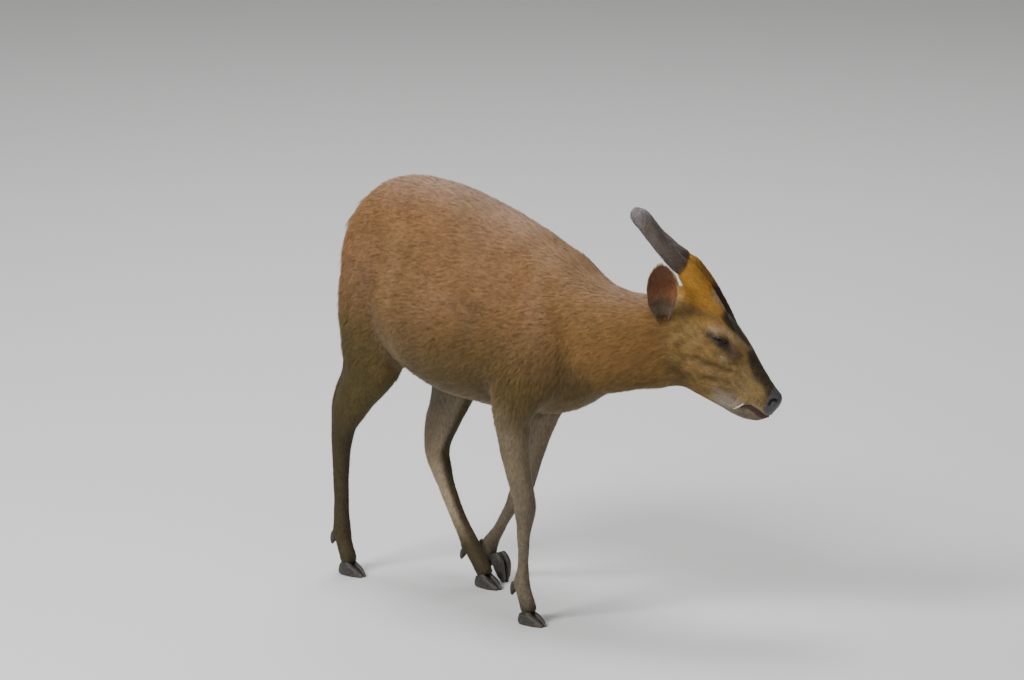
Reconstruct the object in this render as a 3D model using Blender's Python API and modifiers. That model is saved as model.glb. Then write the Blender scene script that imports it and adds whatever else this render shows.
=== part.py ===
"""A life-size Reeves's muntjac buck, walking with its head low and turned to its left.

Metres, +X forward along the trunk, +Y the animal's left, +Z up.
"""

import math

import bmesh
import bpy
import numpy as np
from mathutils import Matrix, Vector

# Sizes that drive the rest
GAP = 0.0003
VOXEL = 0.0034
BODY_TRIANGLES = 3800
CRUMB = 2e-7
TRUNK_ROUNDS = 60
LIMB_ROUNDS = 4
HEAD_ROUNDS = 6
RING_POINTS = 28
FEW_POINTS = 14
RIDGED = (1.68, 2.15)
ROUND = (2.0, 2.0)
BOXY = (2.3, 2.3)
HEAD_YAW = math.radians(43)
HEAD_PITCH = math.radians(42.5)
HEAD_ROLL = math.radians(5)
BROW_CENTRE = Vector((0.1895, 0.1085, 0.3680))
EYE_RADIUS = 0.0115
EYE_POINTS = 12
EYE_ROWS = 8
EYE_PLACE = (-0.006, -0.006, 0.0278)
EAR_ROOTS = {-1: (-0.0750, -0.0330, 0.0360), 1: (-0.0680, -0.0350, 0.0335)}
EAR_TIPS = {-1: (-0.1225, 0.0180, 0.0720), 1: (-0.1125, -0.0080, 0.0730)}
EAR_WIDTH = 0.0380
EAR_RIM = 0.0045
EAR_CUP = 0.0120
EAR_THICK = 0.0026
EAR_ROOT_THICK = 0.0030
EAR_LEAN = 0.0030
EAR_POINTS = 9
CLAW_ROWS = 6
CLAW_POINTS = 12
CONE_POINTS = 8
HOOF_LENGTH = 0.037
HOOF_HEIGHT = 0.0225
HOOF_WIDTH = 0.0110
HOOF_HEEL = 0.40
HOOF_LEAN = 0.30
SOLE_DEPTH = 0.0012
CLEFT = 0.0006
CLEFT_SPREAD = 0.0010
# Hoof outline as shares of its height and width: at the heel, rise and fall towards the toe
HOOF_TOP = (0.62, 1.37, 1.78)
HOOF_SIDE = (0.78, 0.95, 1.50)

# Trunk stations: x, top, bottom, half width, height of the widest level
TRUNK = [
    (-0.366, 0.430, 0.378, 0.018, 0.405),
    (-0.359, 0.452, 0.350, 0.040, 0.400),
    (-0.345, 0.473, 0.324, 0.058, 0.395),
    (-0.322, 0.491, 0.302, 0.071, 0.390),
    (-0.290, 0.503, 0.290, 0.079, 0.385),
    (-0.255, 0.509, 0.278, 0.084, 0.375),
    (-0.220, 0.510, 0.268, 0.090, 0.362),
    (-0.180, 0.508, 0.256, 0.096, 0.352),
    (-0.140, 0.502, 0.249, 0.098, 0.345),
    (-0.100, 0.495, 0.246, 0.096, 0.342),
    (-0.060, 0.486, 0.246, 0.090, 0.340),
    (-0.020, 0.476, 0.250, 0.082, 0.340),
    (0.020, 0.458, 0.256, 0.072, 0.342),
    (0.055, 0.440, 0.272, 0.061, 0.345),
    (0.085, 0.424, 0.292, 0.046, 0.350),
    (0.103, 0.408, 0.312, 0.028, 0.355),
]
# The full belly, which stands out past the flanks
BELLY = [
    (-0.272, 0.425, 0.318, 0.050, 0.368),
    (-0.258, 0.448, 0.293, 0.078, 0.362),
    (-0.238, 0.462, 0.276, 0.096, 0.356),
    (-0.205, 0.470, 0.263, 0.108, 0.352),
    (-0.165, 0.470, 0.251, 0.112, 0.348),
    (-0.125, 0.462, 0.248, 0.110, 0.345),
    (-0.085, 0.452, 0.249, 0.102, 0.342),
    (-0.045, 0.436, 0.255, 0.090, 0.342),
    (-0.010, 0.416, 0.268, 0.072, 0.342),
]
# Neck stations: centre x, y, z, heading in degrees, half depth, half width
NECK = [
    (-0.040, 0.000, 0.385, 0, 0.085, 0.066),
    (0.015, 0.001, 0.372, 4, 0.089, 0.064),
    (0.055, 0.005, 0.3625, 13, 0.0780, 0.058),
    (0.090, 0.015, 0.3575, 26, 0.0675, 0.053),
    (0.120, 0.033, 0.3590, 37, 0.0605, 0.0475),
    (0.145, 0.054, 0.3600, 43, 0.0585, 0.041),
    (0.160, 0.067, 0.3600, 43, 0.0520, 0.032),
    (0.170, 0.077, 0.3580, 43, 0.0360, 0.022),
]
# Head stations, along the skull from nape to nose: forward, top, bottom, half width, widest level
SKULL = [
    (-0.092, 0.000, -0.060, 0.024, -0.030),
    (-0.075, 0.012, -0.078, 0.034, -0.032),
    (-0.050, 0.018, -0.086, 0.0390, -0.030),
    (-0.025, 0.0200, -0.0865, 0.0402, -0.026),
    (-0.005, 0.0200, -0.0845, 0.0395, -0.022),
    (0.015, 0.0165, -0.0805, 0.0350, -0.024),
    (0.035, 0.0110, -0.0755, 0.0290, -0.028),
    (0.055, 0.0042, -0.0705, 0.0248, -0.032),
    (0.073, -0.0020, -0.0655, 0.0222, -0.036),
    (0.087, -0.0055, -0.0600, 0.0204, -0.036),
    (0.097, -0.0070, -0.0535, 0.0182, -0.033),
    (0.1030, -0.0095, -0.0460, 0.0150, -0.029),
    (0.1062, -0.0150, -0.0375, 0.0088, -0.026),
]
# Brow ridge and furred pedicle: forward, up, distance from the middle, half depth, half width
PEDICLE = [
    (0.022, -0.0005, 0.0215, 0.0060, 0.0060),
    (0.008, 0.0050, 0.0245, 0.0090, 0.0080),
    (-0.010, 0.0095, 0.0262, 0.0120, 0.0098),
    (-0.030, 0.0142, 0.0272, 0.0150, 0.0110),
    (-0.050, 0.0190, 0.0280, 0.0165, 0.0118),
    (-0.070, 0.0235, 0.0290, 0.0170, 0.0120),
    (-0.088, 0.0275, 0.0300, 0.0158, 0.0118),
    (-0.1005, 0.0290, 0.0305, 0.0128, 0.0112),
]
# Antler in velvet: forward, up, distance from the middle, half depth, half width
ANTLER = [
    (-0.094, 0.0285, 0.0305, 0.0112, 0.0105),
    (-0.108, 0.0288, 0.0310, 0.0108, 0.0104),
    (-0.126, 0.0304, 0.0320, 0.0103, 0.0100),
    (-0.144, 0.0332, 0.0330, 0.0104, 0.0100),
    (-0.160, 0.0368, 0.0330, 0.0111, 0.0103),
    (-0.172, 0.0396, 0.0324, 0.0111, 0.0103),
    (-0.1805, 0.0415, 0.0318, 0.0088, 0.0084),
    (-0.1850, 0.0424, 0.0314, 0.0042, 0.0040),
]
LEFT_ANTLER_DROOP = 0.013
# Ear outline from the root: share of its length, share of its full width
EAR_OUTLINE = [
    (0.00, 0.40),
    (0.11, 0.54),
    (0.23, 0.78),
    (0.36, 0.94),
    (0.50, 1.00),
    (0.64, 0.98),
    (0.77, 0.88),
    (0.88, 0.69),
    (0.96, 0.43),
    (1.00, 0.16),
]
# Leg stations: centre x, y, z, half depth fore and aft, half width
FORE_RIGHT = [
    (-0.016, -0.030, 0.438, 0.030, 0.012),
    (0.004, -0.042, 0.410, 0.044, 0.020),
    (0.022, -0.052, 0.368, 0.052, 0.026),
    (0.024, -0.058, 0.330, 0.050, 0.029),
    (0.006, -0.064, 0.298, 0.042, 0.028),
    (-0.004, -0.067, 0.270, 0.035, 0.0245),
    (-0.006, -0.066, 0.245, 0.0265, 0.0210),
    (-0.005, -0.065, 0.220, 0.0220, 0.0185),
    (-0.002, -0.063, 0.197, 0.0192, 0.0165),
    (0.002, -0.061, 0.176, 0.0170, 0.0150),
    (0.006, -0.059, 0.158, 0.0160, 0.0144),
    (0.0072, -0.058, 0.144, 0.0158, 0.0142),
    (0.0060, -0.0575, 0.129, 0.0130, 0.0120),
    (0.0040, -0.057, 0.114, 0.0106, 0.0098),
    (0.0020, -0.0565, 0.090, 0.0092, 0.0084),
    (0.0010, -0.056, 0.068, 0.0092, 0.0086),
    (-0.0010, -0.056, 0.050, 0.0116, 0.0112),
    (0.0040, -0.056, 0.036, 0.0106, 0.0108),
    (0.0105, -0.056, 0.022, 0.0120, 0.0116),
    (0.0130, -0.056, 0.0135, 0.0110, 0.0105),
]
FORE_LEFT = [
    (-0.036, 0.028, 0.428, 0.030, 0.012),
    (-0.020, 0.040, 0.398, 0.044, 0.020),
    (-0.008, 0.051, 0.358, 0.050, 0.026),
    (-0.022, 0.057, 0.322, 0.050, 0.028),
    (-0.052, 0.060, 0.292, 0.044, 0.027),
    (-0.078, 0.059, 0.265, 0.034, 0.0240),
    (-0.090, 0.057, 0.240, 0.0265, 0.0210),
    (-0.099, 0.055, 0.215, 0.0220, 0.0185),
    (-0.107, 0.053, 0.190, 0.0190, 0.0165),
    (-0.114, 0.052, 0.167, 0.0170, 0.0150),
    (-0.120, 0.051, 0.148, 0.0162, 0.0144),
    (-0.1262, 0.050, 0.132, 0.0158, 0.0142),
    (-0.1375, 0.051, 0.117, 0.0130, 0.0120),
    (-0.1490, 0.053, 0.103, 0.0104, 0.0098),
    (-0.1660, 0.055, 0.083, 0.0092, 0.0084),
    (-0.1820, 0.057, 0.0635, 0.0094, 0.0086),
    (-0.1955, 0.058, 0.0480, 0.0116, 0.0112),
    (-0.1990, 0.058, 0.0360, 0.0108, 0.0108),
    (-0.1985, 0.058, 0.0240, 0.0112, 0.0114),
    (-0.1975, 0.058, 0.0160, 0.0100, 0.0104),
]
HIND_RIGHT = [
    (-0.286, -0.028, 0.435, 0.050, 0.022),
    (-0.288, -0.040, 0.400, 0.062, 0.032),
    (-0.284, -0.049, 0.358, 0.067, 0.035),
    (-0.279, -0.055, 0.320, 0.065, 0.033),
    (-0.282, -0.059, 0.288, 0.056, 0.0285),
    (-0.2915, -0.060, 0.262, 0.0430, 0.0245),
    (-0.3045, -0.061, 0.239, 0.0315, 0.0200),
    (-0.3205, -0.061, 0.214, 0.0250, 0.0170),
    (-0.3325, -0.061, 0.193, 0.0200, 0.0152),
    (-0.3390, -0.0605, 0.168, 0.0155, 0.0132),
    (-0.3415, -0.060, 0.142, 0.0130, 0.0115),
    (-0.3420, -0.0595, 0.110, 0.0120, 0.0104),
    (-0.3415, -0.059, 0.080, 0.0118, 0.0104),
    (-0.3415, -0.058, 0.052, 0.0130, 0.0122),
    (-0.3370, -0.058, 0.037, 0.0112, 0.0112),
    (-0.3305, -0.058, 0.022, 0.0120, 0.0118),
    (-0.3280, -0.058, 0.0135, 0.0110, 0.0106),
]
HIND_LEFT = [
    (-0.282, 0.028, 0.432, 0.050, 0.022),
    (-0.280, 0.040, 0.396, 0.062, 0.032),
    (-0.269, 0.048, 0.353, 0.066, 0.035),
    (-0.258, 0.054, 0.312, 0.063, 0.032),
    (-0.254, 0.055, 0.275, 0.052, 0.028),
    (-0.258, 0.054, 0.245, 0.041, 0.0240),
    (-0.266, 0.052, 0.217, 0.0320, 0.0200),
    (-0.275, 0.049, 0.190, 0.0255, 0.0175),
    (-0.2825, 0.046, 0.165, 0.0215, 0.0158),
    (-0.2800, 0.043, 0.146, 0.0190, 0.0145),
    (-0.2690, 0.041, 0.1265, 0.0150, 0.0125),
    (-0.2540, 0.037, 0.1080, 0.0128, 0.0112),
    (-0.2340, 0.033, 0.0850, 0.0118, 0.0104),
    (-0.2140, 0.030, 0.0640, 0.0120, 0.0106),
    (-0.2000, 0.028, 0.0500, 0.0128, 0.0120),
    (-0.1880, 0.0275, 0.0370, 0.0112, 0.0112),
    (-0.1740, 0.0275, 0.0220, 0.0120, 0.0118),
    (-0.1700, 0.0275, 0.0135, 0.0110, 0.0106),
]
# Point of the hock, the heel bone behind the joint: from the tip down
HOCK_RIGHT = [
    (-0.3160, -0.060, 0.302, 0.0060, 0.0050),
    (-0.3235, -0.061, 0.277, 0.0075, 0.0060),
    (-0.3325, -0.061, 0.253, 0.0085, 0.0070),
    (-0.3420, -0.061, 0.232, 0.0092, 0.0080),
    (-0.3458, -0.061, 0.210, 0.0102, 0.0092),
    (-0.3450, -0.0605, 0.184, 0.0108, 0.0100),
    (-0.3430, -0.060, 0.160, 0.0105, 0.0095),
]
HOCK_LEFT = [
    (-0.2800, 0.053, 0.250, 0.0060, 0.0050),
    (-0.2880, 0.052, 0.226, 0.0072, 0.0060),
    (-0.2950, 0.051, 0.205, 0.0082, 0.0070),
    (-0.2990, 0.049, 0.187, 0.0092, 0.0080),
    (-0.2965, 0.046, 0.166, 0.0102, 0.0092),
    (-0.2865, 0.043, 0.148, 0.0108, 0.0100),
    (-0.2720, 0.040, 0.126, 0.0105, 0.0095),
]
# Tail stations from the root down: centre x, y, z, half thickness, half width
TAIL = [
    (-0.322, 0.001, 0.474, 0.010, 0.015),
    (-0.348, 0.000, 0.456, 0.0125, 0.020),
    (-0.3665, -0.002, 0.430, 0.0135, 0.0235),
    (-0.373, -0.003, 0.400, 0.012, 0.0275),
    (-0.373, -0.004, 0.366, 0.010, 0.0280),
    (-0.370, -0.005, 0.334, 0.008, 0.0240),
    (-0.366, -0.006, 0.306, 0.006, 0.0150),
    (-0.363, -0.006, 0.292, 0.003, 0.0060),
]
# Feet: hoof place between the two claws, heading and pitch of the claws in degrees
FEET = {
    "fore_right": ((0.0165, -0.056), 4, 0),
    "fore_left": ((-0.1965, 0.058), 8, 62),
    "hind_right": ((-0.3240, -0.058), 2, 0),
    "hind_left": ((-0.1660, 0.0275), 0, 0),
}
# Dew claws: place between the two of them, and the way they point
DEW_CLAWS = {
    "fore_right": ((-0.011, -0.056, 0.040), (-0.25, 0, -0.97)),
    "fore_left": ((-0.2085, 0.058, 0.040), (-0.45, 0, -0.89)),
    "hind_right": ((-0.352, -0.058, 0.042), (-0.25, 0, -0.97)),
    "hind_left": ((-0.206, 0.0275, 0.036), (-0.35, 0, -0.94)),
}
# Where the legs are parted from the trunk: centre and normal of the cut
LEG_TOPS = {
    "fore_right": ((0.000, -0.066, 0.2445), (0, 0.36, 1)),
    "fore_left": ((-0.082, 0.060, 0.2375), (-0.10, -0.25, 1)),
    "hind_right": ((-0.285, -0.060, 0.2750), (0.27, 0.40, 1)),
    "hind_left": ((-0.255, 0.052, 0.2500), (0.12, -0.15, 1)),
}
# Where the legs are parted at their joints: centre and normal of the cut
LEG_JOINTS = {
    "wrist_right": ((0.0055, -0.0575, 0.125), (0.10, 0, 1)),
    "fetlock_fore_right": ((0.0000, -0.056, 0.059), (0, 0, 1)),
    "wrist_left": ((-0.1420, 0.052, 0.1115), (0.70, -0.10, 0.80)),
    "fetlock_fore_left": ((-0.1885, 0.0575, 0.0560), (0.60, 0, 0.80)),
    "hock_right": ((-0.3410, -0.060, 0.150), (0.10, 0, 1)),
    "fetlock_hind_right": ((-0.3415, -0.0585, 0.061), (0, 0, 1)),
    "hock_left": ((-0.2650, 0.040, 0.1210), (-0.66, 0.18, 0.78)),
    "fetlock_hind_left": ((-0.2080, 0.029, 0.0580), (-0.66, 0.10, 0.76)),
}


def clear_scene():
    """Empty the scene of its starting objects."""
    for thing in list(bpy.data.objects):
        bpy.data.objects.remove(thing, do_unlink=True)


def collection(name, hidden=False):
    """A new collection in the scene, hidden from renders when it holds helpers."""
    made = bpy.data.collections.new(name)
    bpy.context.scene.collection.children.link(made)
    made.hide_render = hidden
    return made


clear_scene()
MUNTJAC = collection("muntjac")
HELPERS = collection("muntjac_helpers", hidden=True)


def material(name, colour, roughness):
    """A plain Principled material."""
    made = bpy.data.materials.new(name)
    made.use_nodes = True
    shader = made.node_tree.nodes["Principled BSDF"]
    shader.inputs["Base Color"].default_value = (*colour, 1.0)
    shader.inputs["Roughness"].default_value = roughness
    shader.inputs["Metallic"].default_value = 0.0
    return made


COAT = material("coat_chestnut", (0.30, 0.165, 0.095), 0.85)
NECK_COAT = material("coat_golden", (0.33, 0.20, 0.095), 0.85)
FACE_COAT = material("coat_ginger", (0.38, 0.20, 0.06), 0.85)
LEG_COAT = material("coat_dark_leg", (0.085, 0.058, 0.043), 0.85)
CHIN_COAT = material("coat_pale_chin", (0.36, 0.33, 0.28), 0.85)
VELVET = material("antler_velvet", (0.20, 0.165, 0.155), 0.80)
NOSE_SKIN = material("nose_skin", (0.022, 0.022, 0.026), 0.35)
EYE_SHINE = material("eye_dark", (0.012, 0.008, 0.006), 0.08)
TOOTH = material("tusk_ivory", (0.72, 0.66, 0.52), 0.35)
HORN = material("hoof_horn", (0.035, 0.030, 0.028), 0.45)


def new_object(name, mesh, where, finish=None):
    """A mesh object in a collection, with one material."""
    made = bpy.data.objects.new(name, mesh)
    where.objects.link(made)
    if finish:
        mesh.materials.clear()
        mesh.materials.append(finish)
    if where is HELPERS:
        made.hide_render = True
        made.display_type = "WIRE"
    return made


def baked(thing):
    """The object's mesh with its modifiers applied, as a new mesh."""
    bpy.context.view_layer.update()
    graph = bpy.context.evaluated_depsgraph_get()
    return bpy.data.meshes.new_from_object(thing.evaluated_get(graph))


def apply_all(thing):
    """Replace the object's mesh with its evaluated shape and drop its modifiers."""
    mesh = baked(thing)
    thing.modifiers.clear()
    old = thing.data
    thing.data = mesh
    bpy.data.meshes.remove(old)


def ring(centre, across, over, width, above, below, fullness=(2.1, 2.1), count=RING_POINTS):
    """Points of one closed section: an egg with its own height and fullness above and below."""
    points = []
    for step in range(count):
        angle = 2 * math.pi * step / count
        side, rise = math.cos(angle), math.sin(angle)
        height, power = (above, 2 / fullness[0]) if rise > 0 else (below, 2 / fullness[1])
        out = width * math.copysign(abs(side) ** power, side)
        up = height * math.copysign(abs(rise) ** power, rise)
        points.append(centre + across * out + over * up)
    return points


def loft(name, rings, where=HELPERS, finish=None):
    """A closed skin through sections of equal point counts, with flat ends."""
    mesh = bpy.data.meshes.new(name)
    body = bmesh.new()
    count = len(rings[0])
    rows = [[body.verts.new(point) for point in points] for points in rings]
    for first, second in zip(rows, rows[1:]):
        for step in range(count):
            after = (step + 1) % count
            body.faces.new((first[step], first[after], second[after], second[step]))
    body.faces.new(rows[0][::-1])
    body.faces.new(rows[-1])
    bmesh.ops.recalc_face_normals(body, faces=body.faces)
    body.to_mesh(mesh)
    body.free()
    return new_object(name, mesh, where, finish)


def smooth_stations(stations, between=3):
    """Catmull-Rom rows between the given stations, so that a loft has no hard bands."""
    rows = np.array(stations, dtype=float)
    padded = np.vstack([2 * rows[0] - rows[1], rows, 2 * rows[-1] - rows[-2]])
    out = []
    for index in range(1, len(padded) - 2):
        before, start, end, beyond = padded[index - 1 : index + 3]
        for step in range(between):
            t = step / between
            out.append(
                0.5
                * (
                    2 * start
                    + (end - before) * t
                    + (2 * before - 5 * start + 4 * end - beyond) * t**2
                    + (3 * start - before - 3 * end + beyond) * t**3
                )
            )
    out.append(rows[-1])
    return out


def head_frame():
    """Forward, left and up of the head, from its yaw, pitch and roll."""
    forward = Vector(
        (
            math.cos(HEAD_YAW) * math.cos(HEAD_PITCH),
            math.sin(HEAD_YAW) * math.cos(HEAD_PITCH),
            -math.sin(HEAD_PITCH),
        )
    )
    left = Vector((-math.sin(HEAD_YAW), math.cos(HEAD_YAW), 0.0))
    left = Matrix.Rotation(-HEAD_ROLL, 3, forward) @ left
    return forward, left, forward.cross(left)


FORWARD, LEFT, UP = head_frame()


def on_head(forward, up, side=0.0):
    """A point given along the head, above its axis and to its left."""
    return BROW_CENTRE + FORWARD * forward + UP * up + LEFT * side


def trunk_loft(name, stations):
    """A loft of upright sections along the trunk."""
    rings = []
    for x, top, bottom, width, level in smooth_stations(stations):
        centre = Vector((x, 0.0, level))
        heights = (top - level, level - bottom)
        rings.append(ring(centre, Vector((0, -1, 0)), Vector((0, 0, 1)), width, *heights, RIDGED))
    return loft(name, rings)


def neck_loft():
    """The neck, bending from the shoulders round to the back of the skull."""
    rings = []
    for x, y, z, heading, depth, width in smooth_stations(NECK):
        turn = math.radians(heading)
        across = Vector((math.sin(turn), -math.cos(turn), 0.0))
        rings.append(ring(Vector((x, y, z)), across, Vector((0, 0, 1)), width, depth, depth))
    return loft("neck_flesh", rings)


def skull_loft():
    """The skull with its cheeks, jaw and muzzle."""
    rings = []
    for forward, top, bottom, width, level in smooth_stations(SKULL):
        centre = on_head(forward, level)
        rings.append(ring(centre, -LEFT, UP, width, top - level, level - bottom, BOXY))
    return loft("skull_flesh", rings)


def tube_sections(rows, centres, sideways, count):
    """Sections square to a path through the given centres."""
    rings = []
    for index, row in enumerate(rows):
        along = centres[min(index + 1, len(rows) - 1)] - centres[max(index - 1, 0)]
        across = sideways.cross(along).normalized()
        side = along.cross(across).normalized()
        rings.append(ring(centres[index], across, side, row[3], row[4], row[4], ROUND, count))
    return rings


def head_tube(name, stations, side, droop=0.0, where=HELPERS, finish=None, between=2):
    """A tapering tube along the head's side: a ridge, pedicle or antler."""
    rows = smooth_stations(stations, between)
    start, end = rows[0][0], rows[-1][0]
    centres = []
    for row in rows:
        reach = (row[0] - start) / (end - start)
        centres.append(on_head(row[0], row[1] - droop * reach, side * row[2]))
    return loft(name, tube_sections(rows, centres, LEFT, FEW_POINTS), where, finish)


def limb_loft(name, stations, where=HELPERS, finish=None, between=3, count=RING_POINTS):
    """A leg or tail: sections square to its own path, fore and aft by side to side."""
    rows = smooth_stations(stations, between)
    centres = [Vector(row[:3]) for row in rows]
    sections = tube_sections(rows, centres, Vector((0, 1, 0)), count)
    return loft(name, sections, where, finish)


def merged(name, parts):
    """Several helper meshes as one mesh of loose shells."""
    mesh = bpy.data.meshes.new(name)
    body = bmesh.new()
    for part in parts:
        body.from_mesh(part.data)
    body.to_mesh(mesh)
    body.free()
    return new_object(name, mesh, HELPERS)


def positions(mesh):
    """The mesh's vertices as an array."""
    flat = np.empty(len(mesh.vertices) * 3)
    mesh.vertices.foreach_get("co", flat)
    return flat.reshape(-1, 3)


def step_up(value, low, high):
    """Smoothly from 0 at low to 1 at high."""
    t = np.clip((value - low) / (high - low), 0.0, 1.0)
    return t * t * (3 - 2 * t)


def head_distance(points):
    """How far in front of the neck each point is, along the head's heading."""
    start = np.array(BROW_CENTRE) - 0.075 * np.array((FORWARD.x, FORWARD.y, 0.0))
    ahead = np.array((math.cos(HEAD_YAW), math.sin(HEAD_YAW), 0.0))
    return (points - start) @ ahead


def weight_group(thing, name, weights):
    """Store one weight for each vertex."""
    group = thing.vertex_groups.new(name=name)
    for index, weight in enumerate(weights):
        group.add([index], float(weight), "REPLACE")


def smooth(thing, group, rounds, factor=0.5):
    """A Smooth modifier over one vertex group."""
    made = thing.modifiers.new(f"smooth_{group}", "SMOOTH")
    made.vertex_group = group
    made.iterations = rounds
    made.factor = factor


def make_body():
    """All the flesh as one closed mesh, smoothed and thinned out."""
    parts = [
        trunk_loft("trunk_flesh", TRUNK),
        trunk_loft("belly_flesh", BELLY),
        neck_loft(),
        skull_loft(),
        head_tube("ridge_right", PEDICLE, -1),
        head_tube("ridge_left", PEDICLE, 1),
    ]
    legs = (FORE_RIGHT, FORE_LEFT, HIND_RIGHT, HIND_LEFT, HOCK_RIGHT, HOCK_LEFT)
    for number, stations in enumerate(legs):
        parts.append(limb_loft(f"leg_flesh_{number}", stations))
    body = merged("body_flesh", parts)
    remesh = body.modifiers.new("one_skin", "REMESH")
    remesh.mode = "VOXEL"
    remesh.voxel_size = VOXEL
    apply_all(body)

    points = positions(body.data)
    head = step_up(head_distance(points), -0.02, 0.03)
    high = step_up(points[:, 2], 0.20, 0.29)
    weight_group(body, "trunk", high * (1 - head))
    weight_group(body, "limbs", 1 - high)
    weight_group(body, "head", head)
    smooth(body, "trunk", TRUNK_ROUNDS)
    smooth(body, "limbs", LIMB_ROUNDS)
    smooth(body, "head", HEAD_ROUNDS)
    apply_all(body)

    body.vertex_groups.clear()
    thin = body.modifiers.new("fewer_faces", "DECIMATE")
    thin.ratio = BODY_TRIANGLES / (2 * len(body.data.polygons))
    apply_all(body)
    return body


def boolean(thing, other):
    """Cut with the exact solver, at once."""
    made = thing.modifiers.new("cut", "BOOLEAN")
    made.operation = "DIFFERENCE"
    made.solver = "EXACT"
    made.object = other
    apply_all(thing)


def trim(thing, room):
    """Cut a piece clear of the skin it grows from, and drop what is left inside."""
    boolean(thing, room)
    shells = loose_shells(thing.data)
    keep = set(max(shells, key=len))
    body = bmesh.new()
    body.from_mesh(thing.data)
    body.faces.ensure_lookup_table()
    away = [face for face in body.faces if face.index not in keep]
    bmesh.ops.delete(body, geom=away, context="FACES")
    body.to_mesh(thing.data)
    body.free()


def plate(name, centre, normal, along, length, width):
    """A thin cutting plate, square to a normal, its length along a direction."""
    normal = Vector(normal).normalized()
    along = Vector(along)
    along = (along - normal * along.dot(normal)).normalized()
    side = normal.cross(along)
    mesh = bpy.data.meshes.new(name)
    body = bmesh.new()
    bmesh.ops.create_cube(body, size=1.0)
    turn = Matrix((along, side, normal)).transposed().to_4x4()
    size = Matrix.Diagonal((length, width, GAP, 1.0))
    body.transform(Matrix.Translation(centre) @ turn @ size)
    body.to_mesh(mesh)
    body.free()
    return new_object(name, mesh, HELPERS)


def mouth_plate():
    """The slit between the lips, turned down behind the corner of the mouth."""
    line = [(0.125, -0.0240), (0.098, -0.0375), (0.082, -0.0455), (0.064, -0.0565), (0.052, -0.0950)]
    half = 0.045
    lower = []
    for index, (forward, up) in enumerate(line):
        before = Vector(line[max(index - 1, 0)])
        after = Vector(line[min(index + 1, len(line) - 1)])
        run = (after - before).normalized()
        lower.append((forward - run.y * GAP, up + run.x * GAP))
    outline = line + lower[::-1]
    mesh = bpy.data.meshes.new("mouth_slit")
    body = bmesh.new()
    ends = []
    for side in (-half, half):
        ends.append([body.verts.new(on_head(f, u, side)) for f, u in outline])
    count = len(outline)
    for step in range(count):
        after = (step + 1) % count
        body.faces.new((ends[0][step], ends[0][after], ends[1][after], ends[1][step]))
    body.faces.new(ends[0][::-1])
    body.faces.new(ends[1])
    bmesh.ops.triangulate(body, faces=[face for face in body.faces if len(face.verts) > 4])
    bmesh.ops.recalc_face_normals(body, faces=body.faces)
    body.to_mesh(mesh)
    body.free()
    return new_object("mouth_slit", mesh, HELPERS)


def ball(name, centre, radius, where=HELPERS, finish=None):
    """A round ball."""
    mesh = bpy.data.meshes.new(name)
    body = bmesh.new()
    bmesh.ops.create_uvsphere(body, u_segments=EYE_POINTS, v_segments=EYE_ROWS, radius=radius)
    body.transform(Matrix.Translation(centre))
    body.to_mesh(mesh)
    body.free()
    return new_object(name, mesh, where, finish)


def swollen(thing, amount):
    """A helper copy of the object, grown outwards by a small amount."""
    copy = new_object(f"{thing.name}_room", thing.data.copy(), HELPERS)
    grow = copy.modifiers.new("room", "DISPLACE")
    grow.strength = amount
    grow.mid_level = 0.0
    apply_all(copy)
    return copy


def cone_path(name, path, radii, where, finish, sides=CONE_POINTS):
    """A slim pointed solid along a bent path, such as a tusk."""
    curve = bpy.data.curves.new(name, "CURVE")
    curve.dimensions = "3D"
    curve.bevel_depth = 1.0
    curve.bevel_resolution = max(1, sides // 4)
    curve.use_fill_caps = True
    line = curve.splines.new("POLY")
    line.points.add(len(path) - 1)
    for point, place, radius in zip(line.points, path, radii):
        point.co = (*place, 1.0)
        point.radius = radius
    shaped = bpy.data.objects.new(name, curve)
    where.objects.link(shaped)
    mesh = baked(shaped)
    bpy.data.objects.remove(shaped)
    body = bmesh.new()
    body.from_mesh(mesh)
    bmesh.ops.remove_doubles(body, verts=body.verts, dist=0.00002)
    bmesh.ops.recalc_face_normals(body, faces=body.faces)
    body.to_mesh(mesh)
    body.free()
    mesh.name = name
    return new_object(name, mesh, where, finish)


def tusk(name, side, grow=0.0, where=MUNTJAC):
    """One upper canine, curving down and back outside the lower lip."""
    path, radii = [], []
    for step in range(7):
        t = step / 6
        forward = 0.0705 - 0.0015 * t - 0.0030 * t * t
        path.append(on_head(forward, -0.0440 - 0.0135 * t, side * (0.0206 + 0.0022 * t)))
        radii.append(0.0019 * (1 - 0.80 * t) + grow)
    return cone_path(name, path, radii, where, TOOTH if where is MUNTJAC else None)


def ear(name, side):
    """A cupped leaf: sections across the ear, each a shallow trough of even thickness."""
    ends = []
    for forward, rise, out in (EAR_ROOTS[side], EAR_TIPS[side]):
        ends.append(on_head(forward, rise, side * out))
    root, tip = ends
    along = (tip - root).normalized()
    length = (tip - root).length
    facing = LEFT * side * 0.88 + FORWARD * 0.42 - UP * 0.05
    facing = (facing - along * facing.dot(along)).normalized()
    across = along.cross(facing)
    rings = []
    for t, share in EAR_OUTLINE:
        width = EAR_WIDTH / 2 * share
        cup = EAR_RIM + EAR_CUP * (1 - t) ** 0.9
        thick = EAR_THICK + EAR_ROOT_THICK * (1 - t) ** 3
        lean = EAR_LEAN * math.sin(math.pi * t)
        centre = root + along * (length * t) - facing * lean
        front, back = [], []
        for step in range(EAR_POINTS):
            s = -1 + 2 * step / (EAR_POINTS - 1)
            lift = cup * s * s * share
            edge = 1 - 0.55 * s**6
            base = centre + across * (width * s)
            front.append(base + facing * (lift + thick * 0.5 * edge))
            back.append(base + facing * (lift - thick * 0.5 * edge))
        rings.append(front + back[::-1])
    return loft(name, rings, MUNTJAC, FACE_COAT)


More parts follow.
